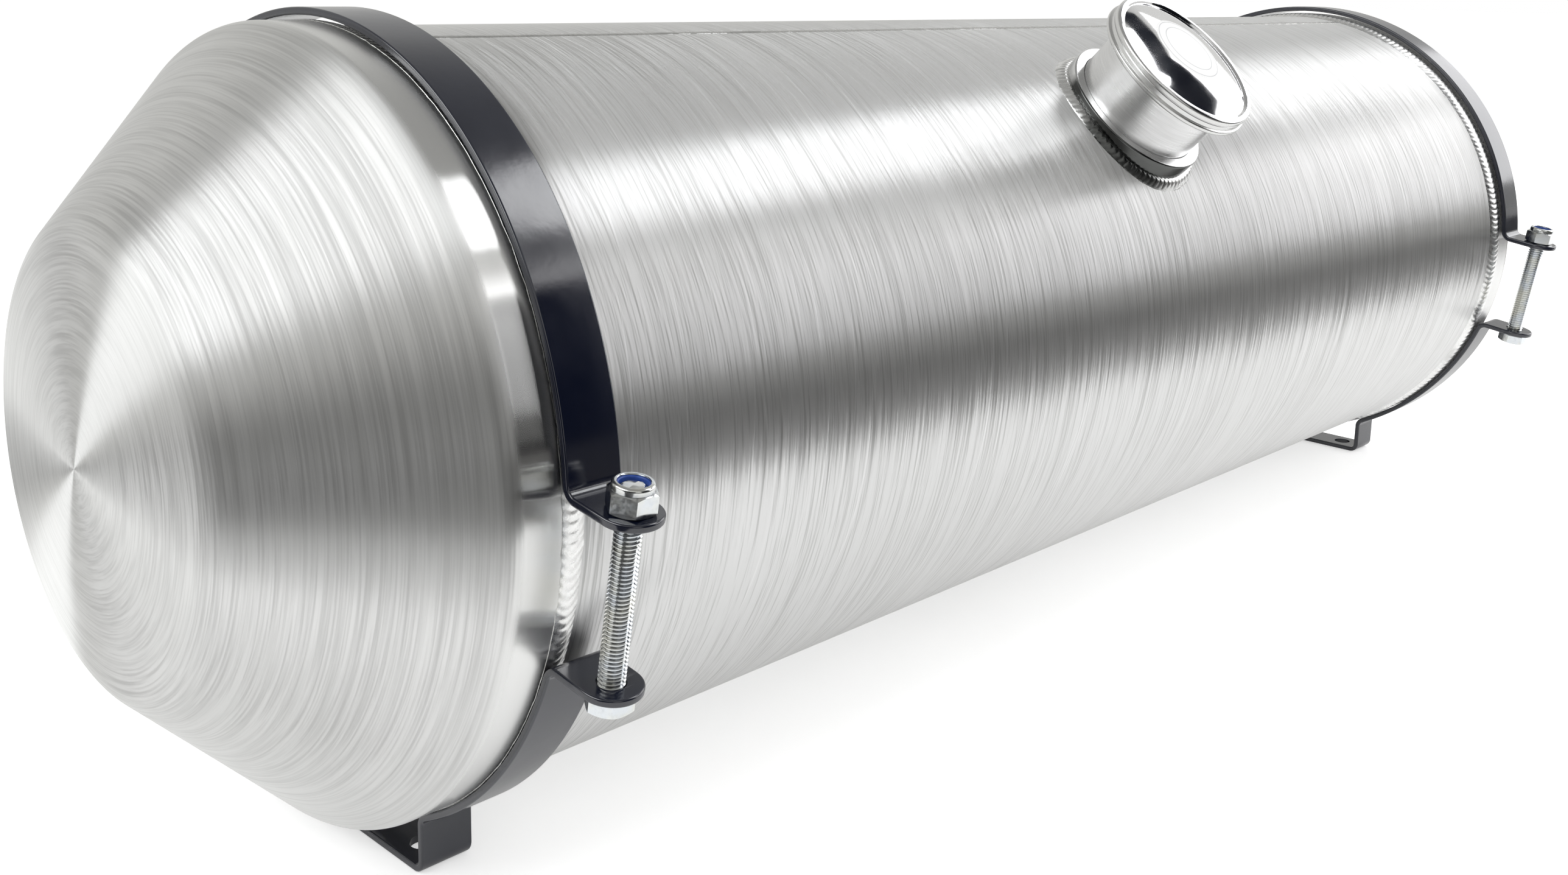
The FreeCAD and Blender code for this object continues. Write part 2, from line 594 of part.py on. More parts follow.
def build():
    fill_sheet()
    barrel()
    seam_weld()
    for end, side in (("near", -1), ("far", 1)):
        end_cap(end + "_end_cap", side)
        girth_weld(end + "_girth_weld", side)
        strap(end + "_strap", side)
        bolt(end + "_bolt", side)
        nut(end + "_nut", side)
        lock_ring(end + "_lock_ring", side)
    filler_ring()
    filler_bead = boss_weld("filler_weld", "filler_ring_radius", "filler_bead_width", "filler_bead_rise")
    keep_filler(filler_bead, "filler_weld")
    filler_neck()
    cap_seal()
    cap_cover()
    cap_post()
    locking_plate()
    outlet_boss()
    outlet_bead = boss_weld("outlet_weld", "outlet_radius", "outlet_bead_width", "outlet_bead_rise")
    keep_outlet(outlet_bead, "outlet_weld")
    doc.recompute()


def check():
    for obj in doc.Objects:
        if "Invalid" in obj.State or "Error" in obj.State:
            raise RuntimeError(f"{obj.Name} is {obj.State}")
    for obj in subparts:
        if obj.Shape.isNull() or not obj.Shape.isValid() or not obj.Shape.Solids:
            raise RuntimeError(f"{obj.Label} has no sound shape")


def write():
    os.makedirs("parts", exist_ok=True)
    for obj in subparts:
        obj.Shape.exportStep(f"parts/{obj.Label}.step")


build()
check()
write()
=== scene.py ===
"""Looks of a spun aluminium fuel tank on two strap brackets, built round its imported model.

Each sub-assembly is a class that holds its sizes in millimetres, builds its own meshes and dresses
them. Turned pieces are built with local Z along their own axis, so that a finish can follow it.
"""

import logging
import math
from dataclasses import dataclass
from enum import Enum
from typing import Sequence

import bmesh
import bpy
import numpy as np
from mathutils import Matrix, Vector


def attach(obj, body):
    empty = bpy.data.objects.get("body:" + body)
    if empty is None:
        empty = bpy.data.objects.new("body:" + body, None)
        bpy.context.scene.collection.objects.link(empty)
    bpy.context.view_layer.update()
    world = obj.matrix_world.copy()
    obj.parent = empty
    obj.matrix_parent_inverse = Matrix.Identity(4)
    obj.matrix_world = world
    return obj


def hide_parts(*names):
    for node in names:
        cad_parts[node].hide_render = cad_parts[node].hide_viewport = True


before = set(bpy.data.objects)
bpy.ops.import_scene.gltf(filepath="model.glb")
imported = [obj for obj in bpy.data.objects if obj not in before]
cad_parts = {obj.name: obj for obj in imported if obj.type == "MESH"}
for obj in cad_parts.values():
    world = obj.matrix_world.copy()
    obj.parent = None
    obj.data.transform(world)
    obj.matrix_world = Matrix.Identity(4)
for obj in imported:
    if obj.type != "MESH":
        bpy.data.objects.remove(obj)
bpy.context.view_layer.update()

MM = 0.001
TURN = 2 * math.pi
log = logging.getLogger("fuel_tank")

Colour = tuple[float, float, float]
Triple = tuple[float, float, float]
Row = tuple[object, object]
Piece = bpy.types.Object
Socket = bpy.types.NodeSocket
Material = bpy.types.Material


class Body(Enum):
    """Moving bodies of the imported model."""

    TANK = "tank"
    CAP_SEAL = "cap_seal"
    CAP = "cap"


class Slot(Enum):
    """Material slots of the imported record."""

    BARREL_SHEET = "barrel_sheet"
    SPUN_SHEET = "spun_sheet"
    WELD_BEAD = "weld_bead"
    MACHINED = "machined"
    BLACK_PAINT = "black_paint"
    ZINC_PLATE = "zinc_plate"
    NYLON = "nylon"
    CAP_CHROME = "cap_chrome"
    CAP_STEEL = "cap_steel"
    GASKET_RUBBER = "gasket_rubber"


class End(Enum):
    """The two ends of the tank, with their direction along X."""

    NEAR = -1
    FAR = 1

    @property
    def word(self) -> str:
        """Name of the end in the names of its pieces."""
        return self.name.lower()


# Shapes

@dataclass(frozen=True)
class Axis:
    """Place and direction that a turned piece is built about, in millimetres."""

    origin: Triple
    along: Triple
    zero: Triple

    def matrix(self) -> Matrix:
        """Transform from the piece's own axes to the model's.

        Returns:
            The transform, in metres.
        """
        along = Vector(self.along).normalized()
        zero = Vector(self.zero).normalized()
        turn = Matrix((zero, along.cross(zero), along)).transposed()
        return Matrix.Translation(Vector(self.origin) * MM) @ turn.to_4x4()


WORLD = Axis((0, 0, 0), (0, 0, 1), (1, 0, 0))


@dataclass(frozen=True)
class Corner:
    """Corner of an outline, rounded by a bend."""

    radius: float
    height: float
    bend: float = 0.0


def rounded(corners: Sequence[Corner], closed: bool = True, fineness: int = 5) -> np.ndarray:
    """Points of an outline whose corners are rounded by arcs.

    Args:
        corners: the outline's corners in order.
        closed: whether the last corner joins the first.
        fineness: steps of an arc for each 45 degrees of turn.

    Returns:
        Array of (radius, height) rows.
    """
    points: list[np.ndarray] = []
    count = len(corners)
    for i, corner in enumerate(corners):
        here = np.array((corner.radius, corner.height), float)
        if corner.bend <= 0 or (not closed and i in (0, count - 1)):
            points.append(here)
            continue
        before = corners[i - 1]
        after = corners[(i + 1) % count]
        back = np.array((before.radius, before.height)) - here
        ahead = np.array((after.radius, after.height)) - here
        back /= np.linalg.norm(back)
        ahead /= np.linalg.norm(ahead)
        half = math.acos(max(-1.0, min(1.0, float(back @ ahead)))) / 2
        centre = here + (back + ahead) / np.linalg.norm(back + ahead) * corner.bend / math.sin(half)
        first = here + back * corner.bend / math.tan(half) - centre
        last = here + ahead * corner.bend / math.tan(half) - centre
        sweep = math.pi - 2 * half
        steps = max(2, math.ceil(fineness * sweep / (math.pi / 4)))
        for k in range(steps + 1):
            share = k / steps
            ray = math.sin((1 - share) * sweep) * first + math.sin(share * sweep) * last
            points.append(centre + ray / math.sin(sweep))
    return np.array(points)


def crown(radius: float, rise: float, foot: float, steps: int) -> np.ndarray:
    """Points of a shallow dome from its edge to its middle.

    Args:
        radius: radius of the dome's edge.
        rise: height of the dome over its edge.
        foot: height of the edge.
        steps: number of steps to the middle.

    Returns:
        Array of (radius, height) rows.
    """
    bend = (radius ** 2 + rise ** 2) / (2 * rise)
    ring = radius * (1 - np.linspace(0, 1, steps + 1))
    return np.stack([ring, foot + rise - bend + np.sqrt(bend ** 2 - ring ** 2)], axis=1)


def circle(steps: int) -> np.ndarray:
    """Even angles round a full turn."""
    return np.arange(steps) * TURN / steps


def turned(rows: Sequence[Row], angle: np.ndarray) -> np.ndarray:
    """Grid of points round an axis, from rows of radius and height at the angles."""
    return np.array([np.column_stack([r * np.cos(angle), r * np.sin(angle), h + 0 * angle])
                     for r, h in rows])


def saddle(barrel: float, radius: object, angle: np.ndarray) -> np.ndarray:
    """Height over the barrel's axis at which a circle round a boss meets the barrel."""
    return np.sqrt(barrel ** 2 - (radius * np.sin(angle)) ** 2)


def divided(outline: np.ndarray, longest: float) -> np.ndarray:
    """Outline with points added along its straight runs.

    Args:
        outline: (radius, height) rows.
        longest: longest step allowed.

    Returns:
        The outline with no step longer than that.
    """
    rows = [outline[0]]
    for start, end in zip(outline[:-1], outline[1:]):
        steps = max(1, math.ceil(float(np.linalg.norm(end - start)) / longest))
        rows += [start + (end - start) * k / steps for k in range(1, steps + 1)]
    return np.array(rows)


def placed(name: str, data: bpy.types.ID, pose: Matrix) -> Piece:
    """New object in the scene.

    Args:
        name: name of the object.
        data: its mesh, lamp or camera.
        pose: its transform.

    Returns:
        The object.
    """
    piece = bpy.data.objects.new(name, data)
    bpy.context.scene.collection.objects.link(piece)
    piece.matrix_world = pose
    return piece


def rectangle(name: str, wide: float, high: float) -> bpy.types.Mesh:
    """Flat rectangle about its own middle.

    Args:
        name: name of the mesh.
        wide: its size along X, in metres.
        high: its size along Y, in metres.

    Returns:
        The mesh.
    """
    x, y = wide / 2, high / 2
    mesh = bpy.data.meshes.new(name)
    mesh.from_pydata([(-x, -y, 0), (x, -y, 0), (x, y, 0), (-x, y, 0)], [], [(0, 1, 2, 3)])
    return mesh


def skin(name: str, grid: np.ndarray, wrap_rows: bool, wrap_columns: bool, axis: Axis = WORLD,
         crease: float = 35.0) -> Piece:
    """Smooth mesh over a grid of points.

    Args:
        name: name of the piece.
        grid: points in millimetres, in the axis's own frame, as (rows, columns, 3).
        wrap_rows: whether the last row joins the first.
        wrap_columns: whether the last column joins the first.
        axis: frame that the points are in.
        crease: angle in degrees beyond which an edge stays sharp.

    Returns:
        The new object, placed in the model.
    """
    rows, columns = grid.shape[:2]
    index = np.arange(rows * columns).reshape(rows, columns)
    if wrap_rows:
        index = np.vstack([index, index[:1]])
    if wrap_columns:
        index = np.hstack([index, index[:, :1]])
    faces = np.stack([index[:-1, :-1], index[1:, :-1], index[1:, 1:], index[:-1, 1:]], axis=-1)
    mesh = bpy.data.meshes.new(name)
    mesh.from_pydata((grid.reshape(-1, 3) * MM).tolist(), [], faces.reshape(-1, 4).tolist())
    return finish_mesh(name, mesh, axis, crease)


def finish_mesh(name: str, mesh: bpy.types.Mesh, axis: Axis, crease: float) -> Piece:
    """Merge coincident points, turn the faces outward and smooth them.

    Args:
        name: name of the piece.
        mesh: its mesh in metres, in the axis's frame.
        axis: frame of the mesh.
        crease: angle in degrees beyond which an edge stays sharp.

    Returns:
        The new object, placed in the model.
    """
    work = bmesh.new()
    work.from_mesh(mesh)
    bmesh.ops.remove_doubles(work, verts=work.verts, dist=2e-7)
    bmesh.ops.recalc_face_normals(work, faces=work.faces)
    work.to_mesh(mesh)
    work.free()
    smooth(mesh, crease)
    return placed(name, mesh, axis.matrix())


def smooth(mesh: bpy.types.Mesh, crease: float) -> None:
    """Smooth shading with sharp edges beyond an angle in degrees."""
    mesh.shade_smooth()
    mesh.set_sharp_from_angle(angle=math.radians(crease))


def lathe(name: str, axis: Axis, outline: np.ndarray, steps: int, closed: bool = True,
          crease: float = 35.0) -> Piece:
    """Turned piece from (radius, height) rows; an open outline starts and ends on the axis."""
    return skin(name, turned(outline, circle(steps)), closed, True, axis, crease)


def cut(piece: Piece, *cutters: Piece,
        crease: float = 35.0) -> Piece:
    """Cut solid shapes out of a piece and remove the cutters.

    Args:
        piece: the piece to cut.
        cutters: closed meshes to take away.
        crease: angle in degrees beyond which an edge stays sharp.

    Returns:
        The same piece with its new mesh.
    """
    for cutter in cutters:
        modifier = piece.modifiers.new("cut", "BOOLEAN")
        modifier.operation = "DIFFERENCE"
        modifier.solver = "EXACT"
        modifier.object = cutter
    bpy.context.view_layer.update()
    result = piece.evaluated_get(bpy.context.evaluated_depsgraph_get())
    cut_mesh = bpy.data.meshes.new_from_object(result)
    piece.modifiers.clear()
    old = piece.data
    piece.data = cut_mesh
    cut_mesh.name = old.name
    bpy.data.meshes.remove(old)
    for cutter in cutters:
        bpy.data.objects.remove(cutter)
    smooth(piece.data, crease)
    return piece


def rod(axis: Axis, radius: float, start: float, end: float, steps: int = 96) -> Piece:
    """Plain closed cylinder for cutting a hole."""
    outline = np.array([(0, start), (radius, start), (radius, end), (0, end)])
    return lathe("cutter", axis, outline, steps, closed=False)


def ripples(phase: np.ndarray) -> np.ndarray:
    """Height from 0 to 1 of stacked weld ripples, with a sharp valley at each whole phase."""
    return np.abs(np.sin(np.pi * phase)) ** 0.7


# Finishes

class Recipe:
    """Node tree of one material, with short ways to add the nodes that the finishes share."""

    def __init__(self, name: str) -> None:
        """Start from a plain surface in object coordinates.

        Args:
            name: name of the material.
        """
        self.material = bpy.data.materials.new(name)
        self.material.use_nodes = True
        self.tree = self.material.node_tree
        self.shader = self.tree.nodes["Principled BSDF"]
        self.place = self.add("ShaderNodeTexCoord").outputs["Object"]

    @classmethod
    def of_air(cls, world: bpy.types.World) -> "Recipe":
        """Recipe that works on a world, with the direction of view as its place.

        Args:
            world: the world to light.

        Returns:
            The recipe.
        """
        recipe = cls.__new__(cls)
        world.use_nodes = True
        recipe.tree = world.node_tree
        recipe.shader = recipe.tree.nodes["Background"]
        recipe.place = recipe.add("ShaderNodeTexCoord").outputs["Generated"]
        return recipe

    def seen_by(self, **levels: float) -> Socket:
        """Sum of levels that each count for one kind of ray only.

        Args:
            levels: level for each kind of ray, such as Camera or Glossy.

        Returns:
            The level for the ray at hand.
        """
        rays = self.add("ShaderNodeLightPath")
        total: object = 0.0
        for kind, level in levels.items():
            total = self.plus(total, self.times(rays.outputs[f"Is {kind} Ray"], level))
        return total

    def add(self, kind: str, **settings: object) -> bpy.types.Node:
        """Add a node and set its properties.

        Args:
            kind: type of the node.
            settings: its properties by name.

        Returns:
            The node.
        """
        node = self.tree.nodes.new(kind)
        for name, value in settings.items():
            setattr(node, name, value)
        return node

    def feed(self, socket: Socket, value: object) -> None:
        """Link a socket to an output, or set it to a value.

        Args:
            socket: input of a node.
            value: output of another node, a number or a colour.
        """
        if isinstance(value, Socket):
            self.tree.links.new(value, socket)
        elif isinstance(value, tuple) and len(value) == 3 and len(socket.default_value) == 4:
            socket.default_value = (*value, 1.0)
        else:
            socket.default_value = value

    def surface(self, **values: object) -> None:
        """Set or link sockets of the surface shader, with _ for a blank in their names."""
        for name, value in values.items():
            self.feed(self.shader.inputs[name.replace("_", " ")], value)

    def calc(self, operation: str, *values: object) -> Socket:
        """Result of a math node.

        Args:
            operation: what the node does; a star after it holds the result from 0 to 1.
            values: its inputs.

        Returns:
            The result.
        """
        held = operation.endswith("*")
        node = self.add("ShaderNodeMath", operation=operation.rstrip("*"), use_clamp=held)
        for socket, value in zip(node.inputs, values):
            self.feed(socket, value)
        return node.outputs[0]

    def plus(self, first: object, second: object) -> Socket:
        """Sum of two values."""
        return self.calc("ADD", first, second)

    def minus(self, first: object, second: object) -> Socket:
        """Difference of two values."""
        return self.calc("SUBTRACT", first, second)

    def times(self, first: object, second: object) -> Socket:
        """Product of two values."""
        return self.calc("MULTIPLY", first, second)

    def stretched(self, *scale: float) -> Socket:
        """Object coordinates times a scale.

        Args:
            scale: cells for each metre along X, Y and Z, or one number for all three.

        Returns:
            The scaled coordinates.
        """
        scaled = self.add("ShaderNodeMapping", vector_type="POINT")
        self.feed(scaled.inputs["Vector"], self.place)
        self.feed(scaled.inputs["Scale"], scale if len(scale) == 3 else scale * 3)
        return scaled.outputs[0]

    def noise(self, vector: Socket, scale: float = 1.0, detail: float = 3.0,
              roughness: float = 0.55) -> Socket:
        """Fractal noise.

        Args:
            vector: where it is taken.
            scale: how fine it is.
            detail: number of finer octaves.
            roughness: share of each finer octave.

        Returns:
            Height from 0 to 1.
        """
        node = self.add("ShaderNodeTexNoise")
        self.feed(node.inputs["Vector"], vector)
        self.feed(node.inputs["Scale"], scale)
        self.feed(node.inputs["Detail"], detail)
        self.feed(node.inputs["Roughness"], roughness)
        return node.outputs["Fac"]

    def grain(self, *scale: float, detail: float = 3.0,
              roughness: float = 0.55) -> Socket:
        """Fractal noise fixed to the piece, by cells for each metre."""
        return self.noise(self.stretched(*scale), 1.0, detail, roughness)

    def span(self, value: object, low: float, high: float, to_low: float = 0.0,
             to_high: float = 1.0) -> Socket:
        """Value taken from one range to another and held there.

        Args:
            value: the value.
            low: start of its range.
            high: end of its range.
            to_low: what the start becomes.
            to_high: what the end becomes.

        Returns:
            The new value.
        """
        node = self.add("ShaderNodeMapRange", clamp=True)
        for socket, number in zip(node.inputs, (value, low, high, to_low, to_high)):
            self.feed(socket, number)
        return node.outputs[0]

    def tint(self, share: object, first: object, second: object) -> Socket:
        """Mix of two colours.

        Args:
            share: share of the second, from 0 to 1.
            first: colour or output of a node.
            second: colour or output of a node.

        Returns:
            The mixed colour.
        """
        node = self.add("ShaderNodeMix", data_type="RGBA")
        colours = [socket for socket in node.inputs if socket.type == "RGBA"]
        self.feed(node.inputs[0], share)
        self.feed(colours[0], first)
        self.feed(colours[1], second)
        return next(socket for socket in node.outputs if socket.type == "RGBA")

    def blend(self, share: object, first: object, second: object) -> Socket:
        """Mix of two numbers.

        Args:
            share: share of the second, from 0 to 1.
            first: number or output of a node.
            second: number or output of a node.

        Returns:
            The mixed number.
        """
        node = self.add("ShaderNodeMix", data_type="FLOAT")
        for index, value in ((0, share), (2, first), (3, second)):
            self.feed(node.inputs[index], value)
        return node.outputs[0]

    def done(self, base: object, rough: object, height: Socket, depth: float,
             **others: object) -> Material:
        """Set the surface and its relief.

        Args:
            base: its colour.
            rough: its roughness.
            height: height of the relief, from 0 to 1.
            depth: range of the relief, in millimetres.
            others: other sockets of the surface.

        Returns:
            The material.
        """
        self.surface(Base_Color=base, Roughness=rough, **others)
        node = self.add("ShaderNodeBump")
        self.feed(node.inputs["Height"], height)
        self.feed(node.inputs["Distance"], depth * MM)
        self.feed(self.shader.inputs["Normal"], node.outputs[0])
        return self.material

    def turned_grain(self, anisotropy: float, slant: object = 0.0) -> None:
        """Spread the gloss across marks that run round the piece's own Z axis.

        Args:
            anisotropy: how far the gloss is spread, from 0 to 1.
            slant: tangent of the marks' angle out of the turning plane.
        """
        around = self.add("ShaderNodeTangent", direction_type="RADIAL", axis="Z")
        along = self.add("ShaderNodeVectorTransform", vector_type="VECTOR",
                         convert_from="OBJECT", convert_to="WORLD")
        self.feed(along.inputs[0], (0, 0, 1))
        lean = self.vector("SCALE", along.outputs[0])
        self.feed(lean.inputs["Scale"], slant)
        leant = self.vector("ADD", around.outputs[0], lean.outputs[0])
        marks = self.vector("NORMALIZE", leant.outputs[0])
        self.surface(Tangent=marks.outputs[0], Anisotropic=anisotropy, Anisotropic_Rotation=0.25)

    def parts(self) -> tuple[Socket, ...]:
        """Object coordinates apart.

        Returns:
            X, Y and Z, in metres.
        """
        node = self.add("ShaderNodeSeparateXYZ")
        self.feed(node.inputs[0], self.place)
        return tuple(node.outputs)

    def vector(self, operation: str, *values: object) -> bpy.types.Node:
        """Vector math node fed with its values.

        Args:
            operation: what the node does.
            values: its inputs.

        Returns:
            The node.
        """
        node = self.add("ShaderNodeVectorMath", operation=operation)
        for socket, value in zip(node.inputs, values):
            self.feed(socket, value)
        return node

    def hollows(self) -> Socket:
        """Height of the surface over its surroundings, below a half in a hollow."""
        return self.add("ShaderNodeNewGeometry").outputs["Pointiness"]

    def reach_from(self, axis: Axis) -> Socket:
        """Distance from an axis, for a piece whose own frame is the model's.

        Args:
            axis: the axis.

        Returns:
            The distance, in metres.
        """
        arm = self.vector("SUBTRACT", self.place, tuple(MM * v for v in axis.origin)).outputs[0]
        across = self.vector("CROSS_PRODUCT", arm, tuple(Vector(axis.along).normalized()))
        return self.vector("LENGTH", across.outputs[0]).outputs["Value"]

    def reach(self) -> Socket:
        """Distance from the piece's own Z axis."""
        x, y, _ = self.parts()
        return self.calc("SQRT", self.plus(self.times(x, x), self.times(y, y)))


@dataclass(frozen=True)
class Strokes:
    """One layer of brush strokes: how fine they are, how long, and how far they slant."""

    fine: float
    length: float
    slant: float
    detail: float = 2.0


@dataclass(frozen=True)
class BrushedSheet:
    """Rolled aluminium sheet brushed round the barrel with a coarse belt."""

    colour: Colour = (0.81, 0.81, 0.805)
    marks: Colour = (0.60, 0.60, 0.59)
    roughness: float = 0.40
    anisotropy: float = 1.0
    layers: tuple[Strokes, ...] = (Strokes(0.7, 130.0, 0.0, 3.0), Strokes(0.9, 150.0, 0.05, 3.0),
                                   Strokes(1.2, 180.0, -0.08, 3.0))
    weights: Triple = (0.40, 0.35, 0.25)
    scratch: Strokes = Strokes(1.6, 140.0, 0.10, 1.5)
    scratch_colour: Colour = (0.95, 0.95, 0.95)
    stain: Colour = (0.75, 0.745, 0.73)
    sway: float = 0.42
    depth: float = 0.06

    def strokes(self, recipe: Recipe, layer: Strokes) -> Socket:
        """Noise drawn out along the brushing.

        Args:
            recipe: the material's node tree.
            layer: fineness, length and slant of the strokes, in millimetres.

        Returns:
            Height from 0 to 1.
        """
        x, y, z = recipe.parts()
        arc = recipe.times(recipe.calc("ARCTAN2", y, x), TankLayout.barrel_radius * MM)
        drift = recipe.plus(z, recipe.times(arc, layer.slant))
        across = recipe.times(drift, 1 / (layer.fine * MM))
        place = recipe.add("ShaderNodeCombineXYZ")
        recipe.feed(place.inputs[0], across)
        recipe.feed(place.inputs[1], recipe.times(arc, 1 / (layer.length * MM)))
        recipe.feed(place.inputs[2], 10.0 * layer.fine)
        return recipe.noise(place.outputs[0], detail=layer.detail)

    def material(self) -> Material:
        """Build the finish.

        Returns:
            The material.
        """
        recipe = Recipe("brushed_barrel_sheet")
        fine, slanted, crossing = (self.strokes(recipe, layer) for layer in self.layers)
        cloud = recipe.grain(9, 9, 14)
        deep = recipe.span(self.strokes(recipe, self.scratch), 0.64, 0.72)
        shares = [recipe.times(layer, weight)
                  for layer, weight in zip((fine, slanted, crossing), self.weights)]
        grain = recipe.plus(shares[0], recipe.plus(shares[1], shares[2]))
        lean = recipe.times(recipe.minus(slanted, crossing), self.sway)
        base = recipe.tint(recipe.span(grain, 0.43, 0.50, 0.70, 0.0), self.colour, self.marks)
        base = recipe.tint(recipe.times(deep, 0.6), base, self.scratch_colour)
        base = recipe.tint(recipe.span(cloud, 0.35, 0.7, 0.0, 0.10), base, self.stain)
        streaky = recipe.span(grain, 0.38, 0.6, self.roughness + 0.06, self.roughness - 0.05)
        rough = recipe.plus(streaky, recipe.span(cloud, 0.35, 0.7, 0.0, 0.03))
        recipe.turned_grain(self.anisotropy, lean)
        height = recipe.minus(grain, recipe.times(deep, 0.35))
        return recipe.done(base, rough, height, self.depth, Metallic=1.0)


@dataclass(frozen=True)
class SpunSheet:
    """Spun end cap: fine marks round its axis, and a flange that is polished bright."""

    flange: float
    colour: Colour = (0.80, 0.80, 0.79)
    marks: Colour = (0.62, 0.62, 0.61)
    stain: Colour = (0.72, 0.72, 0.69)
    roughness: float = 0.43
    flange_roughness: float = 0.20
    anisotropy: float = 1.0
    fineness: float = 1300.0
    wander: float = 2.2
    cone_pull: float = -0.7
    broad_scale: float = 0.33
    weights: tuple[float, float] = (0.65, 0.35)
    sway: float = 0.28
    depth: float = 0.012
    fade: float = 4.0
    left_on_flange: float = 0.15

    def material(self) -> Material:
        """Build the finish.

        Returns:
            The material.
        """
        recipe = Recipe("spun_cap_sheet")
        x, y, z = recipe.parts()
        reach = recipe.reach()
        along = recipe.plus(reach, recipe.times(z, self.cone_pull))
        lines = recipe.add("ShaderNodeCombineXYZ")
        for socket, part in zip(lines.inputs, (x, y)):
            recipe.feed(socket, recipe.times(recipe.calc("DIVIDE", part, reach), self.wander))
        recipe.feed(lines.inputs[2], recipe.times(along, self.fineness))
        fine = recipe.noise(lines.outputs[0])
        broad = recipe.noise(lines.outputs[0], self.broad_scale)
        cloud = recipe.grain(12)
        grain = recipe.plus(*(recipe.times(*pair) for pair in zip((fine, broad), self.weights)))
        polished = recipe.span(z, self.flange * MM, (self.flange - self.fade) * MM)
        left = recipe.span(polished, 0, 1, 1.0, self.left_on_flange)
        dull = recipe.span(grain, 0.40, 0.56, 0.45, 0.0)
        base = recipe.tint(recipe.times(dull, left), self.colour, self.marks)
        base = recipe.tint(recipe.span(cloud, 0.4, 0.7, 0.0, 0.14), base, self.stain)
        lined = recipe.span(grain, 0.35, 0.62, self.roughness + 0.06, self.roughness - 0.04)
        spun = recipe.plus(lined, recipe.span(cloud, 0.35, 0.7, 0.0, 0.04))
        rough = recipe.blend(polished, spun, self.flange_roughness)
        recipe.turned_grain(self.anisotropy, recipe.times(recipe.minus(broad, 0.5), self.sway))
        return recipe.done(base, rough, recipe.times(grain, left), self.depth, Metallic=1.0)


# Direction of the side that is painted dark as shade on the filler's weld and ring.
PAINTED_SHADE_SIDE: Triple = (-0.80, -0.60, 0.0)
WHITE: Colour = (1.0, 1.0, 1.0)


@dataclass(frozen=True)
class WeldMetal:
    """Bright weld metal with painted shade in its valleys and at its toes, random soot patches, and
    painted shade all over on one side.
    """

    name: str = "weld_metal"
    smoke: Triple = (0.0, 0.0, 0.0)
    colour: Colour = (0.84, 0.84, 0.83)
    soot_and_shade: Colour = (0.30, 0.30, 0.29)
    spot: Colour = (0.66, 0.65, 0.62)
    smoked: Colour = (0.055, 0.058, 0.056)
    roughness: float = 0.20
    depth: float = 0.02

    def material(self) -> Material:
        """Build the finish.

        Returns:
            The material.
        """
        recipe = Recipe(self.name)
        spots = recipe.grain(420, detail=4.0, roughness=0.65)
        patches = recipe.grain(60)
        # painted shade: darker in the valleys between ripples and at the toes, where the surface is
        # hollow; random soot patches are added on top
        deep = recipe.span(recipe.hollows(), 0.40, 0.50, 0.75, 0.0)
        share = recipe.calc("ADD*", deep, recipe.span(patches, 0.52, 0.72, 0.0, 0.45))
        base = recipe.tint(share, self.colour, self.soot_and_shade)
        base = recipe.tint(recipe.span(spots, 0.55, 0.75, 0.0, 0.3), base, self.spot)
        # painted shade: the weld turns nearly black towards the shaded side
        side = recipe.vector("DOT_PRODUCT", recipe.place, self.smoke).outputs["Value"]
        edge = recipe.plus(side, recipe.times(patches, 0.02))
        base = recipe.tint(recipe.span(edge, 0.030, 0.042, 0.0, 0.92), base, self.smoked)
        pitted = recipe.span(spots, 0.3, 0.7, self.roughness, self.roughness + 0.14)
        rough = recipe.plus(pitted, recipe.times(share, 0.2))
        return recipe.done(base, rough, spots, self.depth, Metallic=1.0)


@dataclass(frozen=True)
class PrintedFilm:
    """White label film with two thin printed rings."""

    middle: tuple[float, float]
    rings: tuple[float, ...] = (12.0, 15.4)
    line: float = 0.28
    colour: Colour = (0.90, 0.90, 0.90)
    ink: Colour = (0.42, 0.42, 0.44)
    roughness: float = 0.34
    depth: float = 0.02

    def material(self) -> Material:
        """Build the finish.

        Returns:
            The material.
        """
        recipe = Recipe("white_label_film")
        grain = recipe.grain(220)
        centre = (self.middle[0] * MM, self.middle[1] * MM, 0.0)
        flat = recipe.vector("MULTIPLY", recipe.place, (1.0, 1.0, 0.0)).outputs[0]
        reach = recipe.vector("DISTANCE", flat, centre).outputs["Value"]
        dimmer = tuple(0.97 * c for c in self.colour)
        base = recipe.tint(recipe.span(grain, 0.35, 0.7), self.colour, dimmer)
        for ring in self.rings:
            away = recipe.calc("ABSOLUTE", recipe.minus(reach, ring * MM))
            inked = recipe.span(away, self.line * MM, 0.6 * self.line * MM, 0.0, 0.7)
            base = recipe.tint(inked, base, self.ink)
        rough = recipe.span(grain, 0.3, 0.7, self.roughness, self.roughness + 0.1)
        return recipe.done(base, rough, grain, self.depth)


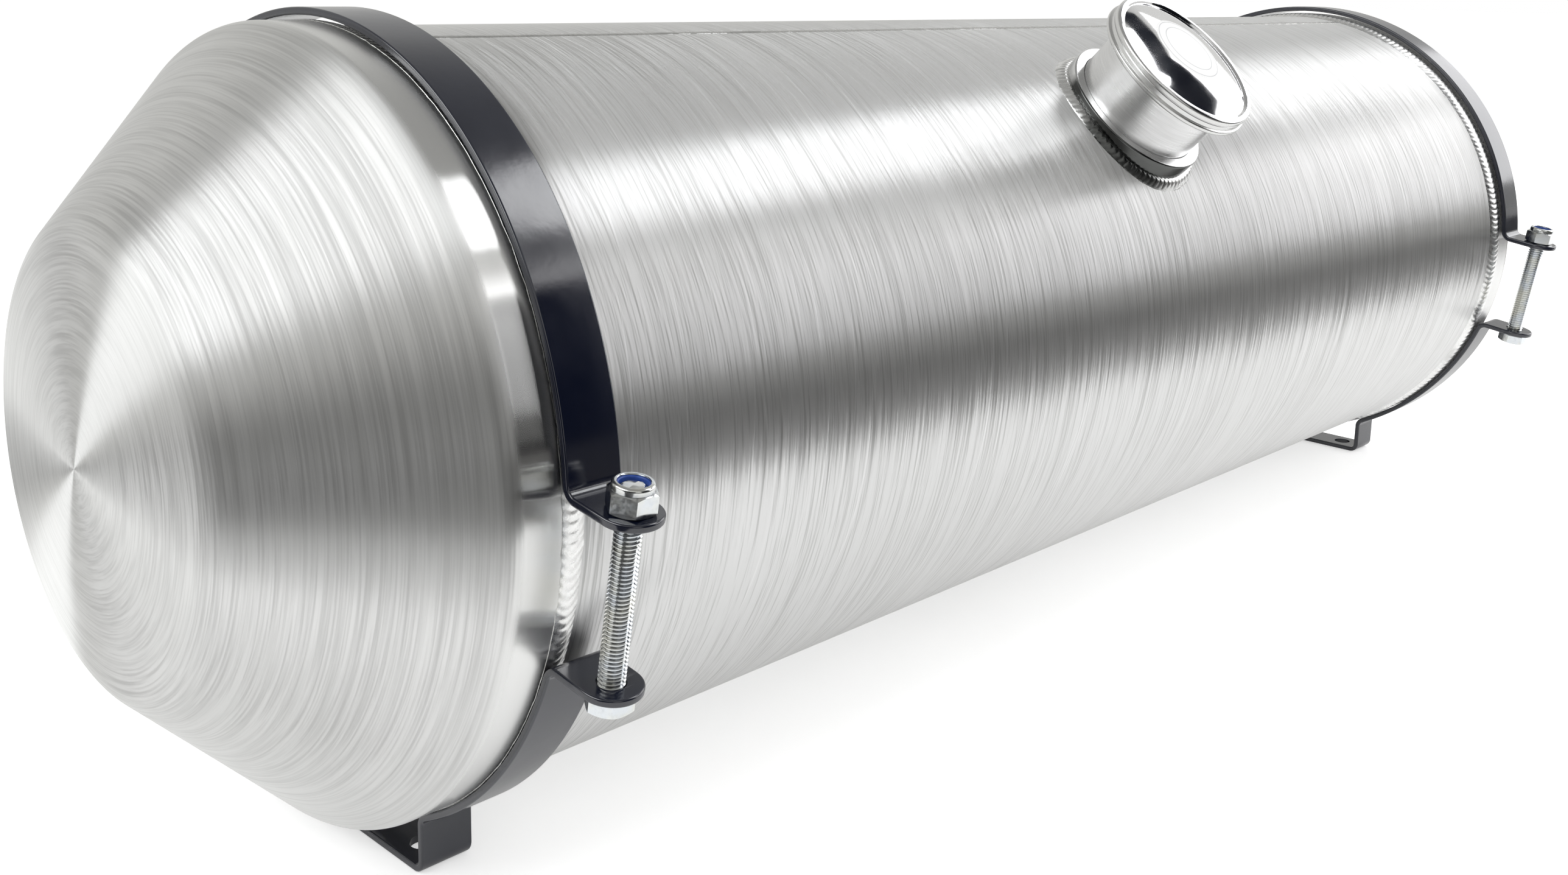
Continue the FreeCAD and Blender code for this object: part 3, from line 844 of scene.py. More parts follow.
@dataclass(frozen=True)
class MachinedMetal:
    """Turned or drawn aluminium with tool marks round its axis, and painted shade on faces turned
    towards a given side.
    """

    name: str = "drawn_aluminium"
    colour: Colour = (0.80, 0.80, 0.80)
    marks: Colour = (0.62, 0.62, 0.61)
    roughness: float = 0.24
    anisotropy: float = 0.6
    smoke: Triple = (0.0, 0.0, 0.0)
    smoked: Colour = (0.06, 0.063, 0.060)
    depth: float = 0.008

    def material(self) -> Material:
        """Build the finish.

        Returns:
            The material.
        """
        recipe = Recipe(self.name)
        marks = recipe.grain(55, 55, 2600, detail=2.0)
        cloud = recipe.grain(70)
        base = recipe.tint(recipe.span(marks, 0.35, 0.6, 0.35, 0.0), self.colour, self.marks)
        lined = recipe.span(marks, 0.35, 0.65, self.roughness + 0.1, self.roughness)
        rough = recipe.plus(lined, recipe.span(cloud, 0.4, 0.7, 0.0, 0.08))
        # painted shade: faces turned towards the shaded side go dark
        facing = recipe.add("ShaderNodeTexCoord").outputs["Normal"]
        side = recipe.vector("DOT_PRODUCT", facing, self.smoke).outputs["Value"]
        edge = recipe.plus(side, recipe.times(cloud, 0.4))
        base = recipe.tint(recipe.span(edge, 0.40, 0.60, 0.0, 0.92), base, self.smoked)
        recipe.turned_grain(self.anisotropy)
        return recipe.done(base, rough, marks, self.depth, Metallic=1.0)


@dataclass(frozen=True)
class BlackPaint:
    """Gloss black powder coat with a slight orange peel, worn a little at the edges."""

    colour: Colour = (0.0025, 0.0040, 0.0125)
    hazy: Colour = (0.004, 0.006, 0.017)
    worn: Colour = (0.14, 0.14, 0.15)
    roughness: float = 0.11
    ior: float = 1.8
    depth: float = 0.018

    def material(self) -> Material:
        """Build the finish.

        Returns:
            The material.
        """
        recipe = Recipe("black_powder_coat")
        peel = recipe.grain(320, detail=2.0)
        haze = recipe.grain(35)
        edges = recipe.span(recipe.hollows(), 0.56, 0.66)
        edges = recipe.times(edges, recipe.span(haze, 0.5, 0.62))
        base = recipe.tint(recipe.span(haze, 0.35, 0.75), self.colour, self.hazy)
        base = recipe.tint(recipe.times(edges, 0.3), base, self.worn)
        rough = recipe.span(haze, 0.3, 0.75, self.roughness, self.roughness + 0.1)
        return recipe.done(base, rough, peel, self.depth, IOR=self.ior)


@dataclass(frozen=True)
class ZincPlate:
    """Bright zinc plate, faintly blue and yellow where it is thinner, with painted shade in its
    hollows.
    """

    colour: Colour = (0.70, 0.73, 0.76)
    thin: Colour = (0.74, 0.74, 0.69)
    speck: Colour = (0.45, 0.47, 0.50)
    shade: Colour = (0.16, 0.17, 0.19)
    roughness: float = 0.15
    depth: float = 0.005

    def material(self) -> Material:
        """Build the finish.

        Returns:
            The material.
        """
        recipe = Recipe("bright_zinc_plate")
        grain = recipe.grain(700)
        cloud = recipe.grain(130, detail=2.0)
        base = recipe.tint(recipe.span(cloud, 0.4, 0.65), self.colour, self.thin)
        base = recipe.tint(recipe.span(grain, 0.5, 0.75, 0.0, 0.2), base, self.speck)
        # painted shade: darker in the hollows of the thread and the hexagon
        base = recipe.tint(recipe.span(recipe.hollows(), 0.42, 0.50, 0.7, 0.0), base, self.shade)
        rough = recipe.span(grain, 0.3, 0.7, self.roughness - 0.04, self.roughness + 0.08)
        return recipe.done(base, rough, grain, self.depth, Metallic=1.0)


@dataclass(frozen=True)
class PolishedPlate:
    """Mirror plate of the filler cap, satin round its side, with a little dust and wiping haze."""

    axis: Axis
    side: float
    colour: Colour = (0.86, 0.86, 0.87)
    dust: Colour = (0.6, 0.6, 0.6)
    satin: Colour = (0.74, 0.74, 0.73)
    roughness: float = 0.05
    side_roughness: float = 0.20
    depth: float = 0.02

    def material(self) -> Material:
        """Build the finish.

        Returns:
            The material.
        """
        recipe = Recipe("polished_cap_plate")
        haze = recipe.grain(60)
        grain = recipe.grain(900, detail=2.0)
        reach = recipe.reach_from(self.axis)
        side = recipe.span(reach, (self.side - 0.7) * MM, (self.side - 0.2) * MM)
        base = recipe.tint(recipe.span(grain, 0.66, 0.8, 0.0, 0.4), self.colour, self.dust)
        base = recipe.tint(side, base, self.satin)
        hazy = recipe.span(haze, 0.35, 0.75, self.roughness, self.roughness + 0.07)
        rough = recipe.plus(hazy, recipe.times(side, self.side_roughness))
        return recipe.done(base, rough, haze, self.depth, Metallic=1.0)


@dataclass(frozen=True)
class PlainSteel:
    """Plain pressed steel of the cap's inside."""

    colour: Colour = (0.60, 0.60, 0.61)
    second: Colour = (0.52, 0.50, 0.47)
    roughness: float = 0.34
    depth: float = 0.012

    def material(self) -> Material:
        """Build the finish.

        Returns:
            The material.
        """
        recipe = Recipe("plain_cap_steel")
        marks = recipe.grain(90, 900, 90)
        cloud = recipe.grain(110)
        base = recipe.tint(recipe.span(cloud, 0.4, 0.7), self.colour, self.second)
        rough = recipe.span(marks, 0.3, 0.7, self.roughness - 0.08, self.roughness + 0.1)
        return recipe.done(base, rough, marks, self.depth, Metallic=1.0)


@dataclass(frozen=True)
class SoftPlastic:
    """Dull plastic or rubber with a fine grain."""

    name: str
    colour: Colour
    second: Colour
    roughness: float
    grain: float = 500.0
    depth: float = 0.03

    def material(self) -> Material:
        """Build the finish.

        Returns:
            The material.
        """
        recipe = Recipe(self.name)
        grain = recipe.grain(self.grain)
        base = recipe.tint(recipe.span(grain, 0.35, 0.7), self.colour, self.second)
        rough = recipe.span(grain, 0.3, 0.7, self.roughness, self.roughness + 0.12)
        return recipe.done(base, rough, grain, self.depth)


@dataclass
class Finishes:
    """All the materials of the tank, each built once."""

    barrel: Material
    cap_sheet: Material
    weld: Material
    smoked_weld: Material
    seam_weld: Material
    machined: Material
    ring: Material
    paint: Material
    zinc: Material
    chrome: Material
    steel: Material
    nylon: Material
    rubber: Material
    label: Material

    @classmethod
    def mixed(cls, filler: Axis) -> "Finishes":
        """Build every finish.

        Args:
            filler: axis of the filler cap.

        Returns:
            The finishes.
        """
        # The seam's soot colour is also its painted shade in hollows; the ring and the filler's
        # weld get painted shade on one side.
        seam = WeldMetal("seam_weld_metal", colour=(0.50, 0.50, 0.49), soot_and_shade=(0.14, 0.14, 0.135))
        ring = MachinedMetal("turned_ring_aluminium", roughness=0.10, anisotropy=0.3,
                             smoke=PAINTED_SHADE_SIDE)
        nylon = SoftPlastic("blue_nylon", (0.02, 0.06, 0.30), (0.03, 0.09, 0.36), 0.34)
        rubber = SoftPlastic("black_rubber", (0.030, 0.030, 0.030), (0.045, 0.044, 0.042), 0.55)
        return cls(
            barrel=BrushedSheet().material(),
            cap_sheet=SpunSheet(EndCap.flange).material(),
            weld=WeldMetal().material(),
            smoked_weld=WeldMetal("filler_weld_metal", smoke=PAINTED_SHADE_SIDE).material(),
            seam_weld=seam.material(),
            machined=MachinedMetal().material(),
            ring=ring.material(),
            paint=BlackPaint().material(),
            zinc=ZincPlate().material(),
            chrome=PolishedPlate(filler, FillerCap.skirt_radius).material(),
            steel=PlainSteel().material(),
            nylon=nylon.material(),
            rubber=rubber.material(),
            label=PrintedFilm(FillerCap.label_shift).material(),
        )


def dress(piece: Piece, material: Material, slot: Slot, body: Body,
          *nodes: str) -> Piece:
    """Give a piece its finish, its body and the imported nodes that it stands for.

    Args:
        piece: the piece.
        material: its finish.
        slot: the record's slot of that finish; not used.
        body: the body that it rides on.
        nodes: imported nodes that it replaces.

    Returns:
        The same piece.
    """
    piece.data.materials.clear()
    piece.data.materials.append(material)
    even = piece.modifiers.new("even_normals", "WEIGHTED_NORMAL")
    even.keep_sharp = True
    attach(piece, body.value)
    if nodes:
        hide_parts(*nodes)
    log.info("%s: %d faces, rides on %s", piece.name, len(piece.data.polygons), body.value)
    return piece


# The tank

@dataclass(frozen=True)
class TankLayout:
    """Sizes that several sub-assemblies share."""

    barrel_radius: float = 127.0
    flange_radius: float = 128.9
    axis_height: float = 137.5
    tank_offset: float = -9.4
    edge_span: float = 667.7
    filler_angle: float = 45.0
    seam_angle: float = 78.0

    @property
    def lying(self) -> Axis:
        """Axis of the barrel, with its zero at the top and turning towards the filler's side."""
        return Axis((self.tank_offset, 0, self.axis_height), (1, 0, 0), (0, 0, 1))

    @property
    def filler(self) -> Axis:
        """Axis of the filler.

        Returns:
            Axis from the barrel's own axis outwards.
        """
        lean = math.radians(self.filler_angle)
        outward = (0, -math.cos(lean), math.sin(lean))
        return Axis((self.tank_offset, 0, self.axis_height), outward, (1, 0, 0))

    def cap_axis(self, end: End) -> Axis:
        """Axis of an end cap, from its edge outwards."""
        edge = self.tank_offset + end.value * self.edge_span / 2
        return Axis((edge, 0, self.axis_height), (end.value, 0, 0), (0, 0, 1))


@dataclass
class Outlet:
    """Threaded outlet boss, low on the plain side."""

    layout: TankLayout
    finishes: Finishes
    place: float = 190.6
    angle: float = 50.0
    radius: float = 13.0
    bore: float = 7.3
    foot: float = 121.0
    top: float = 139.0
    bead_width: float = 2.6
    bead_rise: float = 2.2
    thread_pitch: float = 1.4
    ripple_count: int = 34

    @property
    def axis(self) -> Axis:
        """Axis of the boss.

        Returns:
            Axis from the barrel's own axis outwards.
        """
        lean = math.radians(self.angle)
        outward = (0, math.cos(lean), -math.sin(lean))
        return Axis((self.place, 0, self.layout.axis_height), outward, (1, 0, 0))

    def build(self) -> None:
        """Build the boss and its weld."""
        turns = int((self.top - self.foot - 2) / self.thread_pitch)
        corners = [Corner(self.radius, self.foot, 0.4), Corner(self.radius, self.top, 0.8),
                   Corner(self.bore + 1.1, self.top), Corner(self.bore, self.top - 1.0)]
        for k in range(turns):
            height = self.top - 1.0 - (k + 0.5) * self.thread_pitch
            corners += [Corner(self.bore + 0.75, height),
                        Corner(self.bore, height - self.thread_pitch / 2)]
        corners.append(Corner(self.bore, self.foot))
        boss = lathe("outlet_boss_turned", self.axis, rounded(corners), 96, crease=28)
        dress(boss, self.finishes.machined, Slot.MACHINED, Body.TANK, "outlet_boss")
        saddle_weld("outlet_weld_bead", self.axis, self.layout.barrel_radius, self.radius,
                    self.bead_width, self.bead_rise, self.ripple_count, self.finishes.weld,
                    "outlet_weld")


SLOW_WAVES = ((2, 0.10, 1.0), (5, 0.10, 2.6), (9, 0.08, 0.3), (14, 0.06, 4.0))
RIPPLE_STEPS = 9
SADDLE_SEED = 17


def saddle_weld(name: str, axis: Axis, barrel: float, radius: float, width: float, rise: float,
                count: int, material: Material, node: str) -> Piece:
    """Rippled weld round a boss, in the corner between it and the barrel.

    Args:
        name: name of the piece.
        axis: axis of the boss.
        barrel: radius of the barrel.
        radius: outside of the boss.
        width: width of the weld on the barrel.
        rise: height of the weld on the boss.
        count: number of ripples round the boss.
        material: its finish.
        node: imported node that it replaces.

    Returns:
        The weld.
    """
    angle = circle(count * RIPPLE_STEPS)
    draw = np.random.default_rng(SADDLE_SEED)
    slow = sum(height * np.sin(k * angle + phase) for k, height, phase in SLOW_WAVES)
    lobe = np.repeat(draw.normal(0, 1, count), RIPPLE_STEPS)
    rows = []
    for share in np.linspace(0, 1, 11):
        bulge = math.sin(math.pi * share) * 0.32 * rise
        phase = count * angle / TURN + 0.55 * (share - 0.5) ** 2 * 4
        wave = ripples(phase) * (0.35 + 0.9 * math.sin(math.pi * share)) * 0.30
        ring = radius - 0.25 + (width + 0.25 + 0.5 * slow + 0.10 * lobe * share) * share
        body = (1 - share) * rise + bulge + wave + 0.25 * slow * (1 - share)
        rows.append((ring, saddle(barrel, ring, angle) + np.maximum(body, -0.15) - 0.15 * share))
    rows += [(ring, saddle(barrel, ring, angle) - 0.6) for ring in (radius + width, radius - 0.25)]
    bead = skin(name, turned(rows, angle), True, True, axis, crease=50)
    return dress(bead, material, Slot.WELD_BEAD, Body.TANK, node)


@dataclass
class Barrel:
    """Rolled barrel with its lengthwise seam."""

    layout: TankLayout
    finishes: Finishes
    outlet: Outlet
    wall: float = 2.3
    lap: float = 10.0
    filler_hole: float = 28.75
    row_step: float = 7.0
    steps: int = 256
    seam_width: float = 3.0
    seam_rise: float = 0.4
    seam_inset: float = 8.3
    seam_ripple: float = 1.9
    seam_steps: int = 900
    seam_seed: int = 5

    def build(self) -> None:
        """Build the rolled sheet and the seam."""
        self.sheet()
        self.seam()

    def sheet(self) -> None:
        """Rolled sheet, drilled for the filler neck and the outlet boss."""
        half = self.layout.edge_span / 2 + self.lap
        outer, inner = self.layout.barrel_radius, self.layout.barrel_radius - self.wall
        skin_rows = divided(np.array([(outer, -half), (outer, half)], float), self.row_step)
        inside = divided(np.array([(inner, half), (inner, -half)], float), 40)
        sheet = lathe("barrel_sheet", self.layout.lying, np.vstack([skin_rows, inside]), self.steps)
        filler = rod(self.layout.filler, self.filler_hole, outer / 2, outer * 1.2)
        outlet = rod(self.outlet.axis, self.outlet.radius + 0.15, outer / 2, outer * 1.2)
        cut(sheet, filler, outlet)
        dress(sheet, self.finishes.barrel, Slot.BARREL_SHEET, Body.TANK, "barrel")

    def seam(self) -> None:
        """Slightly rough lengthwise bead."""
        half = self.layout.edge_span / 2 - self.seam_inset
        along = np.linspace(-half, half, self.seam_steps)
        draw = np.random.default_rng(self.seam_seed)
        middle = math.radians(90 - self.layout.seam_angle)
        wander = 0.10 * np.sin(along / 23) + 0.07 * np.sin(along / 9.1 + 1)
        rough = np.convolve(draw.normal(0, 1, along.size + 4), np.ones(5) / 5, "valid")
        rows = []
        for share in np.linspace(-1, 1, 9):
            wave = 0.62 + 0.26 * ripples(along / self.seam_ripple + 0.3 * share ** 2)
            lift = self.seam_rise * (1 - share ** 2) * wave
            radius = self.layout.barrel_radius + lift + 0.04 * rough * (1 - share ** 2)
            across = share * (self.seam_width / 2 + 0.12 * rough) + wander
            rows.append((radius, middle + across / self.layout.barrel_radius))
        side = self.seam_width / 2 / self.layout.barrel_radius
        foot = self.layout.barrel_radius - 0.3
        rows += [(foot, middle + share * side + 0 * along) for share in (1, -1)]
        grid = np.array([np.column_stack([r * np.cos(a), r * np.sin(a), along]) for r, a in rows])
        bead = skin("seam_weld_bead", close_ends(grid), True, False, self.layout.lying, crease=50)
        dress(bead, self.finishes.seam_weld, Slot.WELD_BEAD, Body.TANK, "seam_weld")


def close_ends(grid: np.ndarray) -> np.ndarray:
    """Close a tube made of wrapped rows.

    Args:
        grid: points as (rows, columns, 3).

    Returns:
        The grid with a column of one point at each end.
    """
    first = np.repeat(grid[:, :1].mean(axis=0, keepdims=True), grid.shape[0], axis=0)
    last = np.repeat(grid[:, -1:].mean(axis=0, keepdims=True), grid.shape[0], axis=0)
    return np.concatenate([first, grid, last], axis=1)


@dataclass
class EndCap:
    """Spun cap with its girth weld."""

    layout: TankLayout
    finishes: Finishes
    end: End
    wall: float = 1.7
    lap_gap: float = 0.2
    flange: float = 16.6
    cone: float = 56.6
    nose_radius: float = 71.3
    nose_rise: float = 5.5
    dome_share: float = 0.55
    shoulder_bend: float = 8.0
    nose_bend: float = 14.0
    bead_width: float = 8.3
    bead_sag: float = 0.6
    pitch: float = 3.0
    tongue: float = 2.6
    ripple_steps: int = 7
    seed: int = 31
    steps: int = 288

    def build(self) -> None:
        """Build the cap and its weld."""
        self.shell()
        self.girth_weld()

    def outline(self) -> np.ndarray:
        """Outline of the cap's sheet.

        Returns:
            (radius, height) rows from the outside of its edge over the nose to the inside.
        """
        outer = self.layout.flange_radius
        inner = self.layout.barrel_radius + self.lap_gap
        bend = (self.nose_radius ** 2 + self.nose_rise ** 2) / (2 * self.nose_rise)
        lean = math.atan((outer - self.nose_radius) / self.cone)
        slope = math.asin(self.nose_radius / bend)
        inset = self.wall / (1 + math.sin(lean + slope))
        top = self.flange + self.cone
        inner_nose = (self.nose_radius - inset * (math.cos(lean) + math.sin(slope)),
                      top - inset * (math.sin(lean) + math.cos(slope)))
        inner_shoulder = (inner, self.flange - self.wall * math.tan(lean / 2))
        middle = self.nose_radius * self.dome_share
        outside = rounded([Corner(outer, 0.0), Corner(outer, self.flange, self.shoulder_bend),
                           Corner(self.nose_radius, top, self.nose_bend),
                           Corner(middle, self.dome(middle, bend))], closed=False, fineness=10)
        start = outside[-1][0]
        dome = np.array([(r, self.dome(r, bend)) for r in np.linspace(start, 0, 14)[1:]])
        thin = bend - self.wall
        dome_in = np.array([(r, self.dome(r, thin) - self.wall)
                            for r in np.linspace(0, inner_nose[0] * self.dome_share, 8)])
        inside = rounded([Corner(*dome_in[-1]),
                          Corner(*inner_nose, self.nose_bend - self.wall),
                          Corner(*inner_shoulder, self.shoulder_bend - self.wall),
                          Corner(inner, 0.0)], closed=False)
        return np.vstack([divided(outside, 6.0), dome, dome_in, inside[1:]])

    def dome(self, radius: float, bend: float) -> float:
        """Height of the nose's dome at a radius."""
        top = self.flange + self.cone + self.nose_rise
        return top - bend + math.sqrt(bend ** 2 - radius ** 2)

    def shell(self) -> None:
        """Spun sheet."""
        node = f"{self.end.word}_end_cap"
        axis = self.layout.cap_axis(self.end)
        cap = lathe(f"{node}_spun", axis, self.outline(), self.steps, crease=40)
        dress(cap, self.finishes.cap_sheet, Slot.SPUN_SHEET, Body.TANK, node)

    def girth_weld(self) -> None:
        """Stacked bead from the cap's edge down to the barrel."""
        outer, inner = self.layout.flange_radius, self.layout.barrel_radius
        count = round(TURN * outer / self.pitch)
        steps = self.ripple_steps
        angle = circle(count * steps)
        draw = np.random.default_rng(self.seed + self.end.value)
        size = np.repeat(draw.normal(0, 1, count), steps)
        toe = np.convolve(np.concatenate([size, size[:steps - 1]]), np.ones(steps) / steps, "valid")
        slow = 0.3 * np.sin(3 * angle + self.end.value) + 0.25 * np.sin(11 * angle)
        rows = []
        for share in np.linspace(0, 1, 11):
            bulge = self.bead_sag * 4 * share * (1 - share)
            tongue = self.end.value * self.tongue * (2 * share - 1) ** 2
            phase = count * angle / TURN + tongue / self.pitch + 0.05 * np.sin(7 * angle)
            full = math.sin(math.pi * min(1, max(0, share * 0.9 + 0.05)))
            wave = (ripples(phase) - 0.6) * 0.30 * full
            slope = outer + 0.12 + (inner - outer - 0.14) * share
            radius = slope + bulge + wave + 0.02 * toe * full
            back = (self.bead_width + 0.12 * toe + 0.4 * slow) * share
            rows.append((np.minimum(radius, outer + 0.28), (0.5 + 0.1 * toe) * (1 - share) - back))
        rows += [(inner - 0.3, -self.bead_width + 0.8), (inner - 0.3, -0.1), (outer - 0.4, 0.3)]
        node = f"{self.end.word}_girth_weld"
        bead = skin(f"{node}_bead", turned(rows, angle), True, True, self.layout.cap_axis(self.end),
                    crease=60)
        dress(bead, self.finishes.weld, Slot.WELD_BEAD, Body.TANK, node)


@dataclass
class Filler:
    """Ring, weld and neck of the filler."""

    layout: TankLayout
    finishes: Finishes
    ring_radius: float = 33.5
    ring_rise: float = 5.5
    bead_width: float = 4.0
    bead_rise: float = 2.6
    ripple_count: int = 78
    neck_radius: float = 28.6
    neck_wall: float = 1.8
    neck_foot: float = 119.0
    neck_top: float = 155.3
    lip_radius: float = 21.0
    lip_thickness: float = 1.5
    notch_reach: float = 25.4
    notch_half_width: float = 6.2
    gap: float = 0.15
    steps: int = 192

    def build(self) -> None:
        """Build the ring, its weld and the neck."""
        self.ring()
        saddle_weld("filler_weld_bead", self.layout.filler, self.layout.barrel_radius,
                    self.ring_radius, self.bead_width, self.bead_rise, self.ripple_count,
                    self.finishes.smoked_weld, "filler_weld")
        self.neck()

    def ring(self) -> None:
        """Thick ring that sits on the barrel."""
        inner = self.neck_radius + self.gap
        top = self.layout.barrel_radius + self.ring_rise
        upper = rounded([Corner(inner, top - 2), Corner(inner, top, 0.3),
                         Corner(self.ring_radius, top, 0.9), Corner(self.ring_radius, top - 2)],
                        closed=False)
        angle = circle(self.steps)
        lower = [(radius, saddle(self.layout.barrel_radius, radius, angle) - 0.05)
                 for radius in (self.ring_radius, inner)]
        grid = turned([*upper, *lower], angle)
        ring = skin("filler_ring_turned", grid, True, True, self.layout.filler)
        dress(ring, self.finishes.ring, Slot.MACHINED, Body.TANK, "filler_ring")

    def neck(self) -> None:
        """Tube with a turned-in lip, notched for the cap's tabs."""
        bore = self.neck_radius - self.neck_wall
        under = self.neck_top - self.lip_thickness
        tube = rounded([Corner(bore, self.neck_foot, 0.3),
                        Corner(self.neck_radius, self.neck_foot, 0.3),
                        Corner(self.neck_radius, self.neck_top, 1.2),
                        Corner(self.lip_radius, self.neck_top, 0.5),
                        Corner(self.lip_radius, under, 0.5), Corner(bore, under, 0.6)])
        neck = lathe("filler_neck_tube", self.layout.filler, tube, self.steps)
        reach, half = self.notch_reach, self.notch_half_width
        corners = ((-reach, -half), (reach, -half), (reach, half), (-reach, half))
        block = np.array([[(x, y, z) for x, y in corners]
                          for z in (under - 1.5, self.neck_top + 1.5)], float)
        low, high = (np.repeat(row.mean(axis=0, keepdims=True), 4, axis=0) for row in block)
        cut(neck, skin("cutter", np.array([low, *block, high]), False, True, self.layout.filler))
        dress(neck, self.finishes.machined, Slot.MACHINED, Body.TANK, "filler_neck")


@dataclass
class FillerCap:
    """Quarter-turn cap with its seal."""

    layout: TankLayout
    finishes: Finishes
    neck_top: float = Filler.neck_top
    skirt_radius: float = 35.2
    hem_reach: float = 0.8
    hem_height: float = 1.8
    skirt_foot: float = 155.4
    sheet: float = 0.8
    rim_top: float = 162.79
    rim_width: float = 2.6
    rim_step: float = 1.0
    rim_bend: float = 1.4
    rim_depth: float = 3.0
    groove: float = 0.45
    dome_rise: float = 4.2
    label_radius: float = 16.7
    label_edge: float = 0.3
    label_steps: int = 128
    label_shift: tuple[float, float] = (1.9, 2.9)
    label_rows: tuple[tuple[float, float], ...] = (
        (0.0, 0.10), (6.0, 0.10), (11.4, 0.10), (11.7, 0.06), (12.1, 0.06), (12.4, 0.10),
        (15.4, 0.10), (15.6, 0.10))
    gasket: tuple[float, float, float] = (21.5, 28.0, 2.0)
    lip_gap: float = 0.3
    spring_radius: float = 27.0
    spring_thickness: float = 0.6
    post_radius: float = 4.0
    head_radius: float = 6.5
    head_height: float = 1.2
    plate_radius: float = 15.0
    plate_thickness: float = 1.5
    plate_foot: float = 151.6
    tab_reach: float = 24.2
    tab_half_width: float = 5.0

    @property
    def dome_edge(self) -> float:
        """Radius where the dome meets the step inside the rim."""
        return self.skirt_radius - self.rim_width - self.rim_step

    @property
    def dome_foot(self) -> float:
        """Height where the dome meets the step."""
        return self.rim_top - self.rim_step

    def build(self) -> None:
        """Build the seal's two pieces and the cap's."""
        self.cover()
        self.label()
        self.seal()
        self.post()
        self.plate()

    def cover(self) -> None:
        """Pressed cover with a beaded rim, a skirt with a rolled hem and a mirror dome."""
        hem = self.skirt_radius + self.hem_reach
        inner = self.skirt_radius - self.sheet
        flat = self.skirt_radius - self.rim_width
        line = self.rim_top - self.rim_depth
        side = [Corner(inner, self.skirt_foot, 0.25), Corner(hem, self.skirt_foot, 0.75),
                Corner(hem, self.skirt_foot + self.hem_height, 0.75),
                Corner(self.skirt_radius - 0.25, self.skirt_foot + self.hem_height + 0.5, 0.2),
                Corner(self.skirt_radius - 0.25, line - 0.35, 0.15),
                Corner(self.skirt_radius - self.groove, line, 0.15),
                Corner(self.skirt_radius, line + 0.5, 0.35),
                Corner(self.skirt_radius, self.rim_top, self.rim_bend),
                Corner(flat, self.rim_top, 0.9), Corner(self.dome_edge, self.dome_foot, 0.25),
                Corner(self.dome_edge - 1, self.dome_foot + 0.26)]
        outside = rounded([Corner(inner, self.skirt_foot + 1), *side], closed=False, fineness=6)
        dome = crown(self.dome_edge, self.dome_rise, self.dome_foot, 26)[1:]
        under = crown(self.dome_edge - 0.3, self.dome_rise, self.dome_foot - self.sheet, 14)[::-1]
        back = rounded([Corner(*under[-1]), Corner(flat - 0.6, self.rim_top - self.sheet, 0.3),
                        Corner(inner, self.rim_top - self.sheet, 0.6),
                        Corner(inner, self.skirt_foot + 1)], closed=False)
        dome = dome[dome[:, 0] < self.dome_edge - 0.5]
        outline = np.vstack([outside[:-1], dome, under, back[1:-1]])
        cover = lathe("cap_cover_pressed", self.layout.filler, outline, 240, crease=30)
        cover.data.transform(cover.matrix_world)
        cover.matrix_world = Matrix.Identity(4)
        dress(cover, self.finishes.chrome, Slot.CAP_CHROME, Body.CAP, "cap_cover")

    def label(self) -> None:
        """Round film on the dome, with a shallow groove pressed round it."""
        bend = (self.dome_edge ** 2 + self.dome_rise ** 2) / (2 * self.dome_rise)
        crown_height = self.dome_foot + self.dome_rise
        angle = circle(self.label_steps)
        rows = []
        edge = ((self.label_radius - self.label_edge, 0.10), (self.label_radius, -0.02))
        for ring, lift in (*self.label_rows, *edge):
            x = self.label_shift[0] + ring * np.cos(angle)
            y = self.label_shift[1] + ring * np.sin(angle)
            height = crown_height - bend + np.sqrt(bend ** 2 - x ** 2 - y ** 2) + lift
            rows.append(np.stack([x, y, height], axis=-1))
        label = skin("cap_label", np.array(rows), False, True, self.layout.filler, crease=60)
        dress(label, self.finishes.label, Slot.NYLON, Body.CAP)

    def seal(self) -> None:
        """Gasket and the pressed spring plate that carries it."""
        hole, rim, thick = self.gasket
        foot = self.neck_top + self.lip_gap
        ring = rounded([Corner(radius, height, 0.5) for radius, height in
                        ((hole, foot), (rim, foot), (rim, foot + thick), (hole, foot + thick))])
        gasket = lathe("gasket_ring", self.layout.filler, ring, 128)
        dress(gasket, self.finishes.rubber, Slot.GASKET_RUBBER, Body.CAP_SEAL, "gasket")
        low = foot + thick
        high = low + self.spring_thickness
        profile = ((self.post_radius + 0.4, 0, 0.1), (10, 0, 2), (12, 0.12, 2), (18, 0.12, 2),
                   (20, 0, 2), (self.spring_radius, 0, 0.2))
        wave = [Corner(radius, low + rise, bend) for radius, rise, bend in profile]
        wave += [Corner(radius, high + rise, bend) for radius, rise, bend in reversed(profile)]
        spring = lathe("spring_plate_pressed", self.layout.filler, rounded(wave), 128)
        dress(spring, self.finishes.steel, Slot.CAP_STEEL, Body.CAP_SEAL, "spring_plate")

    def post(self) -> None:
        """Post with its peened head."""
        top = self.dome_foot + self.dome_rise - self.sheet
        foot = self.plate_foot
        head = foot - self.head_height
        outline = rounded([Corner(0, head), Corner(self.head_radius - 1.5, head, 0.8),
                           Corner(self.head_radius, foot - 0.5, 0.3),
                           Corner(self.head_radius, foot, 0.1), Corner(self.post_radius, foot),
                           Corner(self.post_radius, top - 0.1), Corner(0, top - 0.02)],
                          closed=False)
        post = lathe("cap_post_riveted", self.layout.filler, outline, 64, closed=False)
        dress(post, self.finishes.steel, Slot.CAP_STEEL, Body.CAP, "cap_post")

